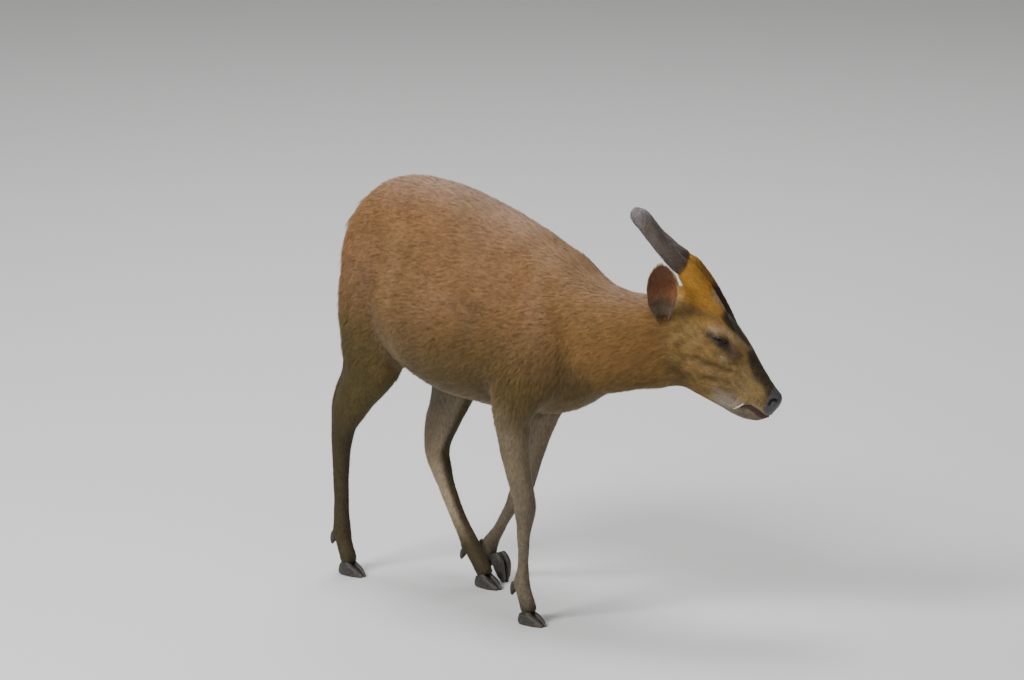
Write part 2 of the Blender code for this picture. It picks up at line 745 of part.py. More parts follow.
def claw(name, foot, side):
    """One half of a cloven hoof: flat below, rounded heel and outside, pointed in front."""
    (x, y), heading, pitch = foot
    turn = Matrix.Rotation(math.radians(heading), 3, "Z")
    tip = Matrix.Rotation(math.radians(pitch), 3, "Y")
    toe = Vector(((1 - HOOF_HEEL) * HOOF_LENGTH, 0.0, 0.0))
    heel_height, height_rise, height_fall = HOOF_TOP
    heel_width, width_rise, width_fall = HOOF_SIDE
    rings = []
    for row in range(CLAW_ROWS):
        t = row / (CLAW_ROWS - 1)
        along = (t - HOOF_HEEL) * HOOF_LENGTH
        height = HOOF_HEIGHT * (heel_height + height_rise * t - height_fall * t**1.5)
        width = HOOF_WIDTH * (heel_width + width_rise * t - width_fall * t**2.2) / 2
        inner = side * (CLEFT + CLEFT_SPREAD * t)
        points = []
        for step in range(CLAW_POINTS):
            angle = 2 * math.pi * step / CLAW_POINTS
            rise = math.copysign(abs(math.sin(angle)) ** 0.62, math.sin(angle))
            flat = math.copysign(abs(math.cos(angle)) ** 0.75, math.cos(angle))
            level = height * (1 + rise) / 2
            lean = 1 - HOOF_LEAN * level / HOOF_HEIGHT
            point = Vector((along, inner + side * width * (1 + flat * lean), level))
            points.append(turn @ (tip @ (point - toe) + toe) + Vector((x, y, 0.0)))
        rings.append(points)
    lowest = min(point.z for points in rings for point in points)
    for points in rings:
        for point in points:
            point.z = max(point.z - lowest - SOLE_DEPTH, 0.0)
    return loft(name, rings, MUNTJAC, HORN)


def dew_claw(name, place, side, lean):
    """A small blunt horn behind the fetlock."""
    root = Vector(place) + Vector((-0.004 * lean.x, side * 0.0062, 0.004))
    path = [root + lean * d for d in (-0.006, 0.002, 0.008, 0.0115)]
    return cone_path(name, path, [0.0040, 0.0040, 0.0031, 0.0012], MUNTJAC, HORN)


def cut_body(body):
    """Part the skin at the places where a person would name its pieces."""
    level = BROW_CENTRE.z
    heading = Vector((math.cos(HEAD_YAW), math.sin(HEAD_YAW), 0.0))
    nape = Vector((0.1465, 0.0655, level))
    plates = [
        plate("cut_neck", Vector((0.060, 0.006, 0.375)), (0.86, 0.12, 0.50), (0, 0, 1), 0.34, 0.24),
        plate("cut_head", nape, heading, (0, 0, 1), 0.26, 0.155),
        plate("cut_nose", on_head(0.0985, -0.0180), (FORWARD * 0.93 + UP * 0.30), UP, 0.036, 0.06),
        mouth_plate(),
    ]
    for name, (centre, normal) in LEG_TOPS.items():
        plates.append(plate(f"cut_top_{name}", centre, normal, (1, 0, 0), 0.145, 0.085))
    for name, (centre, normal) in LEG_JOINTS.items():
        plates.append(plate(f"cut_{name}", centre, normal, (1, 0, 0), 0.060, 0.045))
    for cutter in plates:
        boolean(body, cutter)


NAMED_PLACES = {
    "trunk": ((-0.14, 0.0, 0.38), COAT),
    "neck": ((0.10, 0.022, 0.36), NECK_COAT),
    "head": (tuple(on_head(-0.02, -0.03)), FACE_COAT),
    "lower_jaw": (tuple(on_head(0.080, -0.056)), CHIN_COAT),
    "nose_pad": (tuple(on_head(0.101, -0.024)), NOSE_SKIN),
    "foreleg_right_forearm": ((0.001, -0.061, 0.185), LEG_COAT),
    "foreleg_right_cannon": ((0.002, -0.057, 0.092), LEG_COAT),
    "foreleg_right_pastern": ((0.004, -0.056, 0.036), LEG_COAT),
    "foreleg_left_forearm": ((-0.105, 0.054, 0.180), LEG_COAT),
    "foreleg_left_cannon": ((-0.166, 0.055, 0.083), LEG_COAT),
    "foreleg_left_pastern": ((-0.198, 0.058, 0.036), LEG_COAT),
    "hindleg_right_gaskin": ((-0.318, -0.061, 0.212), LEG_COAT),
    "hindleg_right_cannon": ((-0.3415, -0.059, 0.105), LEG_COAT),
    "hindleg_right_pastern": ((-0.336, -0.058, 0.037), LEG_COAT),
    "hindleg_left_gaskin": ((-0.275, 0.049, 0.190), LEG_COAT),
    "hindleg_left_cannon": ((-0.236, 0.034, 0.088), LEG_COAT),
    "hindleg_left_pastern": ((-0.188, 0.0275, 0.037), LEG_COAT),
}


def loose_shells(mesh):
    """The mesh's separate shells, each as a list of face indices."""
    body = bmesh.new()
    body.from_mesh(mesh)
    body.faces.ensure_lookup_table()
    seen, shells = set(), []
    for face in body.faces:
        if face.index in seen:
            continue
        stack, shell = [face], []
        seen.add(face.index)
        while stack:
            current = stack.pop()
            shell.append(current.index)
            for edge in current.edges:
                for other in edge.link_faces:
                    if other.index not in seen:
                        seen.add(other.index)
                        stack.append(other)
        shells.append(shell)
    body.free()
    return shells


def volume_centre(piece):
    """The centre of a closed mesh's volume."""
    total, moment = 0.0, Vector()
    for face in piece.faces:
        first, second, third = (vertex.co for vertex in face.verts)
        part = first.dot(second.cross(third)) / 6
        total += part
        moment += (first + second + third) / 4 * part
    return moment / total


def split_body(body):
    """One named object for each shell of the cut skin, without crumbs left by the cuts."""
    shells = []
    for shell in loose_shells(body.data):
        piece = bmesh.new()
        piece.from_mesh(body.data)
        piece.faces.ensure_lookup_table()
        keep = set(shell)
        away = [face for face in piece.faces if face.index not in keep]
        bmesh.ops.delete(piece, geom=away, context="FACES")
        bmesh.ops.triangulate(piece, faces=piece.faces)
        if piece.calc_volume() > CRUMB:
            shells.append((piece, volume_centre(piece)))
    for name, (place, finish) in NAMED_PLACES.items():
        piece, centre = min(shells, key=lambda shell: (shell[1] - Vector(place)).length)
        shells.remove((piece, centre))
        mesh = bpy.data.meshes.new(name)
        piece.to_mesh(mesh)
        new_object(name, mesh, MUNTJAC, finish)


def make_feet(room):
    """Two claws and two dew claws on each foot, each cut clear of the skin."""
    made = []
    for place, foot in FEET.items():
        leg = place.replace("fore_", "foreleg_").replace("hind_", "hindleg_")
        spot, lean = DEW_CLAWS[place]
        for side, word in ((1, "left"), (-1, "right")):
            made.append(claw(f"{leg}_claw_{word}", foot, side))
            made.append(dew_claw(f"{leg}_dewclaw_{word}", spot, side, Vector(lean).normalized()))
    for piece in made:
        trim(piece, room)


def stand_on_origin():
    """Move everything so that the middle of the floor outline is the origin."""
    points = np.vstack([positions(thing.data) for thing in MUNTJAC.objects])
    low, high = points.min(axis=0), points.max(axis=0)
    middle = (low + high) / 2
    shift = Matrix.Translation((-middle[0], -middle[1], -low[2]))
    for thing in MUNTJAC.objects:
        thing.data.transform(shift)


def shade(thing):
    """Rounded shading with the cut edges kept sharp."""
    thing.data.shade_smooth()
    thing.data.set_sharp_from_angle(angle=math.radians(50))


def main():
    body = make_body()
    room = swollen(body, GAP)
    for side, word in ((1, "left"), (-1, "right")):
        forward, up, out = EYE_PLACE
        centre = on_head(forward, up, side * out)
        ball(f"eye_{word}", centre, EYE_RADIUS, MUNTJAC, EYE_SHINE)
        boolean(body, ball(f"socket_{word}", centre, EYE_RADIUS + GAP))
        tusk(f"tusk_{word}", side)
        boolean(body, tusk(f"tusk_room_{word}", side, GAP, HELPERS))
        trim(ear(f"ear_{word}", side), room)
        droop = LEFT_ANTLER_DROOP if side > 0 else 0.0
        trim(head_tube(f"antler_{word}", ANTLER, side, droop, MUNTJAC, VELVET, 1), room)
    trim(limb_loft("tail", TAIL, MUNTJAC, COAT, 1, FEW_POINTS), room)
    make_feet(room)
    cut_body(body)
    split_body(body)
    stand_on_origin()
    for thing in MUNTJAC.objects:
        shade(thing)


main()
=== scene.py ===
import math

import bmesh
import bpy
import numpy as np
from mathutils import Matrix, Vector
from mathutils.bvhtree import BVHTree


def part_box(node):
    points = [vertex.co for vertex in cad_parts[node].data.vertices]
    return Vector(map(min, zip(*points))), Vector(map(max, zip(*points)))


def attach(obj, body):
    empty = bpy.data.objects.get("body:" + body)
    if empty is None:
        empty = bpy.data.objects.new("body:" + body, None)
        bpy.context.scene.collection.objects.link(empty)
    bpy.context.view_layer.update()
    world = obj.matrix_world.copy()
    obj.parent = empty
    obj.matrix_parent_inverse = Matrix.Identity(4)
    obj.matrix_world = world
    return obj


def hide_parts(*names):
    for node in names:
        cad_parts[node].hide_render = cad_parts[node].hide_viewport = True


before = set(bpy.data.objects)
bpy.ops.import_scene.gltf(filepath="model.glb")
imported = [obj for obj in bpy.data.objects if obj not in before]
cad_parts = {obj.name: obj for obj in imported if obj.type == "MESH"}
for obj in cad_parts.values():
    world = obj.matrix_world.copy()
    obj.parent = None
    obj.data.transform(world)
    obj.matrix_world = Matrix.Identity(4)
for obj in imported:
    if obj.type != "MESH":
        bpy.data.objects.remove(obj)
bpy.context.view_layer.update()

# Hide: one closed skin over flesh and bone, from the nose to the tail and down to the hooves.
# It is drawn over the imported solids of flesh, across their parting cuts, then smoothed
# and drawn in by the depth of the coat, so that the hair's tips reach the solids' outline.
HIDE_GRID = 0.0037
SMOOTHING = (0.55, -0.57)
SMOOTHING_ROUNDS = 16
NOT_FLESH = ("eye", "antler", "tusk", "ear")
flesh = [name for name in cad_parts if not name.startswith(NOT_FLESH) and "claw" not in name]


def link(name, data):
    """A new object for a mesh, a lamp or a camera."""
    thing = bpy.data.objects.new(name, data)
    bpy.context.scene.collection.objects.link(thing)
    return thing


def joined_solids(name, nodes):
    """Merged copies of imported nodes, as one object."""
    made = bmesh.new()
    for node in nodes:
        made.from_mesh(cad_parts[node].data)
    bmesh.ops.remove_doubles(made, verts=made.verts, dist=1e-6)
    mesh = bpy.data.meshes.new(name)
    made.to_mesh(mesh)
    made.free()
    return link(name, mesh)


def settle(thing):
    """Work the object's modifiers into its mesh."""
    graph = bpy.context.evaluated_depsgraph_get()
    mesh = bpy.data.meshes.new_from_object(
        thing.evaluated_get(graph), preserve_all_data_layers=True, depsgraph=graph
    )
    thing.modifiers.clear()
    thing.data = mesh


def rounder(thing, levels):
    """Round the object's coarse mesh off."""
    finer = thing.modifiers.new("rounder", "SUBSURF")
    finer.levels = levels
    finer.render_levels = levels


def places(mesh):
    """The mesh's points as an array."""
    flat = np.empty(len(mesh.vertices) * 3, np.float32)
    mesh.vertices.foreach_get("co", flat)
    return flat.reshape(-1, 3).astype(float)


def put(mesh, points):
    """Write the points back into the mesh."""
    mesh.vertices.foreach_set("co", np.asarray(points, np.float32).ravel())
    mesh.update()


def outward(mesh):
    """The mesh's point normals as an array."""
    flat = np.empty(len(mesh.vertices) * 3, np.float32)
    mesh.vertex_normals.foreach_get("vector", flat)
    return flat.reshape(-1, 3).astype(float)


def edge_ends(mesh):
    """The two point numbers of every edge."""
    flat = np.empty(len(mesh.edges) * 2, np.int32)
    mesh.edges.foreach_get("vertices", flat)
    return flat.reshape(-1, 2)


def evened(values, ends, rounds, share):
    """Values at the points, each moved towards the mean of its neighbours, round by round."""
    values = np.asarray(values, float)
    table = values.reshape(len(values), -1)
    ways = np.bincount(ends.ravel(), minlength=len(table)).clip(1)[:, None]
    for step in range(rounds):
        amount = share[step % 2] if isinstance(share, tuple) else share
        total = np.empty_like(table)
        for column in range(table.shape[1]):
            there = np.bincount(ends[:, 0], table[ends[:, 1], column], len(table))
            back = np.bincount(ends[:, 1], table[ends[:, 0], column], len(table))
            total[:, column] = there + back
        table = table + amount * (total / ways - table)
    return table.reshape(values.shape)


def step_up(value, low, high):
    """0 below low, 1 above high, smooth between."""
    t = np.clip((value - low) / (high - low), 0.0, 1.0)
    return t * t * (3 - 2 * t)


skin = joined_solids("muntjac_skin", flesh + ["eye_left", "eye_right"])
grid = skin.modifiers.new("one_hide", "REMESH")
grid.mode = "VOXEL"
grid.voxel_size = HIDE_GRID
settle(skin)
put(skin.data, evened(places(skin.data), edge_ends(skin.data), SMOOTHING_ROUNDS, SMOOTHING))

# Flesh under the hide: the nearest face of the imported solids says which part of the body
# each point of the hide belongs to, and so its coat and its colours.
flesh_corners = []
flesh_faces = []
face_owner = []
for number, name in enumerate(flesh):
    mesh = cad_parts[name].data
    start = len(flesh_corners)
    flesh_corners += [vertex.co[:] for vertex in mesh.vertices]
    flesh_faces += [[start + index for index in face.vertices] for face in mesh.polygons]
    face_owner += [number] * len(mesh.polygons)
solids = BVHTree.FromPolygons(flesh_corners, flesh_faces)


def owners(points):
    """For each point, the number in the list of flesh nodes of the nearest piece."""
    return np.array([face_owner[solids.find_nearest(Vector(point))[2]] for point in points])


def belongs(owner, *starts):
    """Which points belong to the pieces whose names start so."""
    numbers = [number for number, name in enumerate(flesh) if name.startswith(starts)]
    return np.isin(owner, numbers)


# The head's own directions: forward along the skull, left, and up, from a place on the brow
# between the eyes. The head hangs low, turned to the animal's left and leaning a little.
HEAD_YAW = math.radians(43)
HEAD_PITCH = math.radians(42.5)
HEAD_ROLL = math.radians(5)
EYE_FORWARD = -0.006
EYE_UP = -0.006


def box_middle(node):
    """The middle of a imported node's box."""
    low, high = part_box(node)
    return (Vector(low) + Vector(high)) / 2


FORWARD = Vector(
    (
        math.cos(HEAD_YAW) * math.cos(HEAD_PITCH),
        math.sin(HEAD_YAW) * math.cos(HEAD_PITCH),
        -math.sin(HEAD_PITCH),
    )
)
LEFT = Matrix.Rotation(-HEAD_ROLL, 3, FORWARD) @ Vector((-math.sin(HEAD_YAW), math.cos(HEAD_YAW), 0.0))
UP = FORWARD.cross(LEFT)
BROW = (box_middle("eye_left") + box_middle("eye_right")) / 2 - FORWARD * EYE_FORWARD - UP * EYE_UP
HEAD_AXES = np.array((FORWARD, UP, LEFT))


def on_head(forward, up, left=0.0):
    """A place in the room from a place on the head."""
    return BROW + FORWARD * forward + UP * up + LEFT * left


def head_places(points):
    """Forward, up and left of the brow for each point."""
    return (points - np.array(BROW)) @ HEAD_AXES.T


# The head's skin is worked finer than the body's, and finest at the muzzle and round the eyes.
# Each finer stretch is smoothed once more, so that the solids' facets don't show in it.
EASING = (0.5, -0.52)
EASING_ROUNDS = 4
HEAD_MIDDLE = (0.01, -0.02, 0.0)
HEAD_REACH = 0.135
HEAD_FADE = 0.020
EYE_NEIGHBOURHOOD = 0.0165
MUZZLE_START = 0.058
MUZZLE_HALF_HEIGHT = 0.06
MUZZLE_HALF_WIDTH = 0.05
SIDES = (1, -1)
eye_spots = [np.array(box_middle("eye_left")), np.array(box_middle("eye_right"))]


def split_finer(thing, chosen):
    """Halve the edges between the chosen points."""
    made = bmesh.new()
    made.from_mesh(thing.data)
    made.verts.ensure_lookup_table()
    edges = [e for e in made.edges if chosen[e.verts[0].index] and chosen[e.verts[1].index]]
    bmesh.ops.subdivide_edges(made, edges=edges, cuts=1, use_grid_fill=True)
    made.to_mesh(thing.data)
    made.free()


def ease(thing, share):
    """Smooth the skin where the share says."""
    points = places(thing.data)
    eased = evened(points, edge_ends(thing.data), EASING_ROUNDS, EASING)
    put(thing.data, points + (eased - points) * share[:, None])


def eye_distance(points):
    """How far each point is from the nearer eye."""
    return np.min([np.linalg.norm(points - spot, axis=1) for spot in eye_spots], axis=0)


split_finer(skin, belongs(owners(places(skin.data)), "head", "lower_jaw", "nose_pad"))
from_middle = head_places(places(skin.data)) - np.array(HEAD_MIDDLE)
ease(skin, step_up(-np.linalg.norm(from_middle, axis=1), -HEAD_REACH, HEAD_FADE - HEAD_REACH))
for finer in range(2):
    points = places(skin.data)
    ahead, above, aside = head_places(points).T
    chosen = eye_distance(points) < EYE_NEIGHBOURHOOD
    if finer == 0:
        muzzle = (np.abs(above + 0.03) < MUZZLE_HALF_HEIGHT) & (np.abs(aside) < MUZZLE_HALF_WIDTH)
        chosen |= (ahead > MUZZLE_START) & muzzle
    split_finer(skin, chosen)
    points = places(skin.data)
    ahead, above, aside = head_places(points).T
    at_muzzle = step_up(ahead, 0.052, 0.062) * step_up(-above, -0.05, -0.03)
    ease(skin, np.maximum(step_up(-eye_distance(points), -0.020, -0.015), at_muzzle))

# Depth of the coat: the solids reach to the tips of the hair, so the skin is drawn in from them
# by how deep the hair lies, deepest on the trunk and hardly at all on the nose.
COAT_DEPTH = {
    "trunk": 0.0034,
    "neck": 0.0028,
    "tail": 0.0030,
    "head": 0.0012,
    "lower_jaw": 0.0008,
    "nose_pad": 0.0001,
    "foreleg": 0.0014,
    "hindleg": 0.0014,
}
points = places(skin.data)
owner = owners(points)
depth = np.zeros(len(points))
for start, size in COAT_DEPTH.items():
    depth[belongs(owner, start)] = size
depth = evened(depth, edge_ends(skin.data), 14, 0.5)
side_view = head_places(points)[:, :2]
forward, above, aside = head_places(points).T
on_face = belongs(owner, "head", "lower_jaw", "nose_pad")
depth = np.where(on_face, depth * (1 - 0.75 * step_up(forward, 0.05, 0.085)), depth)
points = points - outward(skin.data) * depth[:, None]
put(skin.data, points)

# Face: lips, nostrils, tear-gland pockets, cheek folds and lids, worked into the skin.
# Each is a crease or a swelling along a line on the side of the head, the same on both sides,
# with its places given as forward and up from the brow.
MOUTH_LINE = [(0.1060, -0.0350), (0.1010, -0.0385), (0.0896, -0.0390), (0.0791, -0.0405), (0.0700, -0.0490)]
NOSTRIL_LINE = [(0.0985, -0.0150), (0.0948, -0.0165), (0.0932, -0.0200), (0.0948, -0.0235)]
TUSK_LIP = (0.0715, -0.0415)
# Brow, cheekbone and hollow of the jaw: height, breadth and line.
BONE_LINES = (
    (0.0012, 0.0036, [(-0.020, 0.0065), (-0.006, 0.0085), (0.010, 0.0060)]),
    (0.0010, 0.0050, [(-0.040, -0.030), (-0.012, -0.0245), (0.014, -0.0215), (0.036, -0.020)]),
    (-0.0010, 0.0070, [(0.040, -0.044), (0.060, -0.040)]),
)
# Creases: depth and breadth, then height, place and breadth of the swelling beside them.
MOUTH_CREASE = (0.0021, 0.0010, 0.0006, 0.0, 0.0042)
NOSTRIL_CREASE = (0.0032, 0.0015, 0.0006, 0.0030, 0.0016)
FOLD_CREASE = (0.0020, 0.0036, 0.0008, 0.0068, 0.0038)
POCKET_CREASE = (0.0022, 0.75, 0.0007, 1.45, 0.45)
LIP_GROOVE = (0.0008, 0.0011)
TUSK_BULGE = (0.0017, 0.0036)
SWELLING = 0.0009
# Folds: strength and line. Swellings: strength, breadth and line.
CHEEK_FOLDS = [
    (1.00, [(-0.0079, -0.0392), (0.0049, -0.0362), (0.0235, -0.0298), (0.0311, -0.0259)]),
    (0.70, [(0.0300, -0.0030), (0.0310, -0.0110), (0.0261, -0.0182)]),
    (0.85, [(0.0138, -0.0532), (0.0278, -0.0442), (0.0412, -0.0370)]),
    (0.40, [(0.0410, -0.0480), (0.0500, -0.0440)]),
    (0.55, [(-0.0300, -0.0660), (-0.0053, -0.0680), (0.0100, -0.0630)]),
    (0.45, [(-0.0330, -0.0420), (-0.0220, -0.0470), (-0.0100, -0.0450)]),
]
HIGHLIT_SWELLINGS = [
    (1.00, 0.0040, [(0.0130, -0.0200), (0.0200, -0.0193)]),
    (0.90, 0.0044, [(-0.0221, -0.0019), (-0.0097, 0.0085), (0.0048, 0.0115), (0.0221, 0.0125)]),
    (0.45, 0.0045, [(-0.0030, -0.0420), (0.0140, -0.0410), (0.0290, -0.0390)]),
    (0.40, 0.0050, [(0.0600, -0.0310), (0.0750, -0.0300)]),
]
GLAND = (0.0148, -0.0080)
GLAND_LENGTH = 0.0105
GLAND_HEIGHT = 0.0046
GLAND_TILT = math.radians(-6)
LID_THICKNESS = 0.0010
EYE_RADIUS = 0.0115
EYE_HALF_LENGTH = 0.0092
LID_TOP = 0.0014
LID_BOTTOM = 0.0017
LID_RIM = 0.00022
SLIT_TILT = math.radians(17)


def line_gap(flat, line):
    """How far each place on the side of the head is from a bent line."""
    best = np.full(len(flat), 9.0)
    for first, second in zip(line, line[1:]):
        start = np.array(first)
        run = np.array(second) - start
        share = np.clip((flat - start) @ run / (run @ run), 0.0, 1.0)
        best = np.minimum(best, np.linalg.norm(flat - start - share[:, None] * run, axis=1))
    return best


def ridge(gap, width):
    """1 on the line, falling away within about the width."""
    return np.exp(-((gap / width) ** 2))


def crease(gap, depth, breadth, rise, beside, rise_breadth):
    """How far the skin moves out by a line that is sunk in and swells beside it."""
    return rise * ridge(gap - beside, rise_breadth) - depth * ridge(gap, breadth)


def gland_place(flat):
    """Distance from the middle of the tear-gland pocket, where 1 is its edge."""
    ahead, over = (flat - np.array(GLAND)).T
    along = ahead * math.cos(GLAND_TILT) + over * math.sin(GLAND_TILT)
    across = over * math.cos(GLAND_TILT) - ahead * math.sin(GLAND_TILT)
    return np.hypot(along / GLAND_LENGTH, across / GLAND_HEIGHT)


def nostril_gap(flat, away):
    """Distance from the nostril's slit, which stays clear of the middle of the nose."""
    return line_gap(flat, NOSTRIL_LINE) + 0.02 * step_up(-away, -0.0075, -0.0050)


def eye_axes(side):
    """Along the slit, across it and outwards, for the eye on one side."""
    out = (LEFT * side * 0.94 + FORWARD * 0.26 + UP * 0.16).normalized()
    along = FORWARD * math.cos(SLIT_TILT) + UP * math.sin(SLIT_TILT)
    along = (along - out * along.dot(out)).normalized()
    over = out.cross(along) * side
    return np.array((along, over if over.dot(UP) > 0 else -over, out))


def slit_gap(x, y):
    """Distance outside the opening between the lids; below 0 inside it."""
    t = np.clip(1 - (x / EYE_HALF_LENGTH) ** 2, 0.0, 1.0)
    top = LID_TOP * t**0.75
    bottom = -LID_BOTTOM * t
    past = np.maximum(np.abs(x) - EYE_HALF_LENGTH, 0.0)
    outside = np.hypot(past, np.maximum(np.maximum(y - top, bottom - y), 0.0))
    inside = np.where(past > 0, 0.0, np.clip(np.minimum(top - y, y - bottom), 0.0, 1.0))
    return outside - inside


away = np.abs(aside)
normals = outward(skin.data)
sideways = step_up(np.abs(normals @ np.array(LEFT)), 0.25, 0.60)
nose_tip = step_up(forward, 0.099, 0.103) * step_up(above, -0.036, -0.030)
from_tusk = np.linalg.norm(side_view - np.array(TUSK_LIP), axis=1)
push = TUSK_BULGE[0] * ridge(from_tusk, TUSK_BULGE[1])
push += crease(gland_place(side_view), *POCKET_CREASE)
for strength, fold in CHEEK_FOLDS:
    push += strength * crease(line_gap(side_view, fold), *FOLD_CREASE)
for strength, breadth, swelling in HIGHLIT_SWELLINGS:
    push += SWELLING * strength * ridge(line_gap(side_view, swelling), breadth)
for height, breadth, line in BONE_LINES:
    push += height * ridge(line_gap(side_view, line), breadth)
push *= sideways
lips = crease(line_gap(side_view, MOUTH_LINE), *MOUTH_CREASE)
push += lips * np.maximum(sideways, step_up(forward, 0.096, 0.103))
push += crease(nostril_gap(side_view, away), *NOSTRIL_CREASE)
push -= LIP_GROOVE[0] * ridge(away, LIP_GROOVE[1]) * nose_tip
points = points + normals * (push * on_face)[:, None]

# Fetlocks: the skin swells behind each of them, where the dew claws grow from it, so that the
# horn comes out of a low mound of furred skin.
SWELLING_WIDTH = 0.0065
SWELLING_HEIGHT = 0.0016
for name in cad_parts:
    if "dewclaw" in name:
        low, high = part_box(name)
        root = np.array((sum((low[0], high[0])) / 2, sum((low[1], high[1])) / 2, high[2] - 0.002))
        swelling = ridge(np.linalg.norm(points - root, axis=1), SWELLING_WIDTH)
        points = points + normals * (SWELLING_HEIGHT * swelling)[:, None]

# Lids: skin of even thickness over the eyeball, open in a narrow almond, with a rolled rim
# and one fold above. Inside the opening the skin sinks behind the ball.
LID_SOFTNESS = 0.0012
LID_FOLD = 0.0030
BEHIND_BALL = 0.0028
for side, spot in zip(SIDES, eye_spots):
    axes = eye_axes(side)
    local = (points - spot) @ axes.T
    x, y, height = local.T
    reach = np.hypot(x, y)
    near = (reach < EYE_NEIGHBOURHOOD) & (height > 0)
    ball = np.sqrt(np.maximum((EYE_RADIUS + LID_THICKNESS) ** 2 - reach**2, 0.0))
    blend = np.exp(-np.abs(height - ball) / LID_SOFTNESS)
    lifted = np.maximum(height, ball) + 0.30 * LID_SOFTNESS * blend
    gap = slit_gap(x, y)
    fold = ridge(gap - LID_FOLD, 0.0008) * step_up(y, 0.0, 0.002)
    lifted = lifted + 0.0005 * ridge(gap - 0.0005, 0.0008) - 0.0007 * fold
    shaped = height + (lifted - height) * step_up(-reach, -0.0150, -0.0110)
    sunk = np.sqrt(np.maximum(EYE_RADIUS**2 - reach**2, 0.0)) - BEHIND_BALL
    local[:, 1] = np.where((np.abs(gap) <= LID_RIM) & near, y - gap * np.sign(y), y)
    local[:, 2] = np.where(near, np.where(gap < -LID_RIM, sunk, shaped), height)
    points = np.where(near[:, None], spot + local @ axes, points)
put(skin.data, points)

# Ears: thin cupped leaves of gristle and skin, rooted in the head and part of the same hide.
# Each root is pushed a little way into the skull, so that no gap shows round it.
EAR_ROOTING = 0.0045
MEETS_SKULL = 0.0012
ears = []
for name in ("ear_left", "ear_right"):
    ear = joined_solids(f"{name}_shape", [name])
    rounder(ear, 2)
    ear_points = places(ear.data)
    for index, point in enumerate(ear_points):
        _, normal, _, gap = solids.find_nearest(Vector(point))
        if gap < MEETS_SKULL:
            ear_points[index] = point - np.array(normal) * EAR_ROOTING
    put(ear.data, ear_points)
    settle(ear)
    ears.append(ear)
hide = bmesh.new()
hide.from_mesh(skin.data)
ear_side = np.zeros(len(points))
for side, ear in zip(SIDES, ears):
    hide.from_mesh(ear.data)
    ear_side = np.append(ear_side, np.full(len(ear.data.vertices), side))
    bpy.data.objects.remove(ear)
hide.to_mesh(skin.data)
hide.free()
skin.data.shade_smooth()
points = places(skin.data)
normals = outward(skin.data)
ends = edge_ends(skin.data)
owner = np.append(owner, np.full(int(np.abs(ear_side).sum()), -1))


def unit(rows):
    """Each row at length 1."""
    return rows / np.maximum(np.linalg.norm(rows, axis=-1, keepdims=True), 1e-9)


def ear_ends(side):
    """Root and tip of the ear on one side."""
    there = points[ear_side == side]
    heights = head_places(there)[:, 1]
    root = there[heights < np.percentile(heights, 8)].mean(axis=0)
    tip = there[heights > np.percentile(heights, 97)].mean(axis=0)
    return root, tip


def inside_of_ear(side):
    """1 on the open inner face of the ear on one side, with the way that it faces."""
    opening = unit(np.array(LEFT) * side * 0.88 + np.array(FORWARD) * 0.42)
    return (ear_side == side) * step_up(normals @ opening, 0.0, 0.35), opening


# Coat colours of neck and trunk, laid over each other by place on the animal, the same on hide
# and hair: chestnut with a grey-mauve bloom on the back, partly painted sheen where the coat
# faces up; olive low down, partly painted shade; cream below.
CHESTNUT = (0.222, 0.111, 0.042)
MAUVE_BLOOM_AND_SHEEN = (0.340, 0.220, 0.160)
OLIVE = (0.088, 0.062, 0.017)
BELLY_CREAM = (0.200, 0.142, 0.070)
NECK_GOLD = (0.235, 0.122, 0.036)
THROAT_TAN = (0.135, 0.086, 0.022)
TAIL_ORANGE = (0.350, 0.175, 0.055)
ELBOW_SHADE = (0.070, 0.042, 0.016)
# Painted highlight: the paler tan laid on swellings of flank and face.
PAINTED_HIGHLIGHT_TAN = (0.300, 0.200, 0.100)
INNER_WHITE = (0.480, 0.430, 0.340)


def laid(under, new, share):
    """Colours with one more laid over them where its share says."""
    share = np.clip(share, 0.0, 1.0)[:, None]
    return under * (1 - share) + np.array(new) * share


def mark(new, share):
    """Lay one more colour over the animal where its share says."""
    colour[:] = laid(colour, new, share)


def step_down(value, low, high):
    """1 below low, 0 above high, smooth between."""
    return step_up(-value, -high, -low)


def share_of(rounds, *starts):
    """How far each point belongs to the pieces whose names start so, soft at their borders."""
    return evened(belongs(owner, *starts).astype(float), ends, rounds, 0.5)


def soft_patches(points, size, seed):
    """Slow uneven patches between -1 and 1, from a few crossing waves."""
    made = np.random.default_rng(seed)
    total = np.zeros(len(points))
    for _ in range(7):
        way = made.normal(size=3)
        way *= made.uniform(0.7, 1.6) / np.linalg.norm(way)
        total += np.sin(points @ way * (2 * math.pi / size) + made.uniform(0, 2 * math.pi))
    return total / 3.4


x, y, z = points.T
skyward = normals[:, 2]
head_share = share_of(16, "head", "lower_jaw", "nose_pad")
neck_share = share_of(30, "neck")
tail_share = share_of(4, "tail")
fore_share = share_of(14, "foreleg")
hind_share = share_of(14, "hindleg")
colour = np.tile(CHESTNUT, (len(points), 1)).astype(float)
# Painted sheen: the back takes the grey-mauve bloom most thickly where it faces the sky.
back = step_up(z, 0.420, 0.520) * step_up(skyward, 0.45, 0.98)
mark(MAUVE_BLOOM_AND_SHEEN, 0.55 * back + 0.10 * soft_patches(points, 0.11, 3) * (z > 0.3))
# Olive low on the flanks, partly the coat's own olive and partly painted shade darkening the barrel towards
# the belly.
mark(OLIVE, 0.90 * step_down(z, 0.285, 0.420) * (1 - back))
mark(OLIVE, 0.22 * step_up(soft_patches(points, 0.16, 8), 0.1, 1.0))
underneath = step_up(-skyward, 0.45, 0.90) * step_down(z, 0.25, 0.33)
mark(BELLY_CREAM, 0.55 * underneath * (1 - head_share))
mark(NECK_GOLD, 0.85 * neck_share)
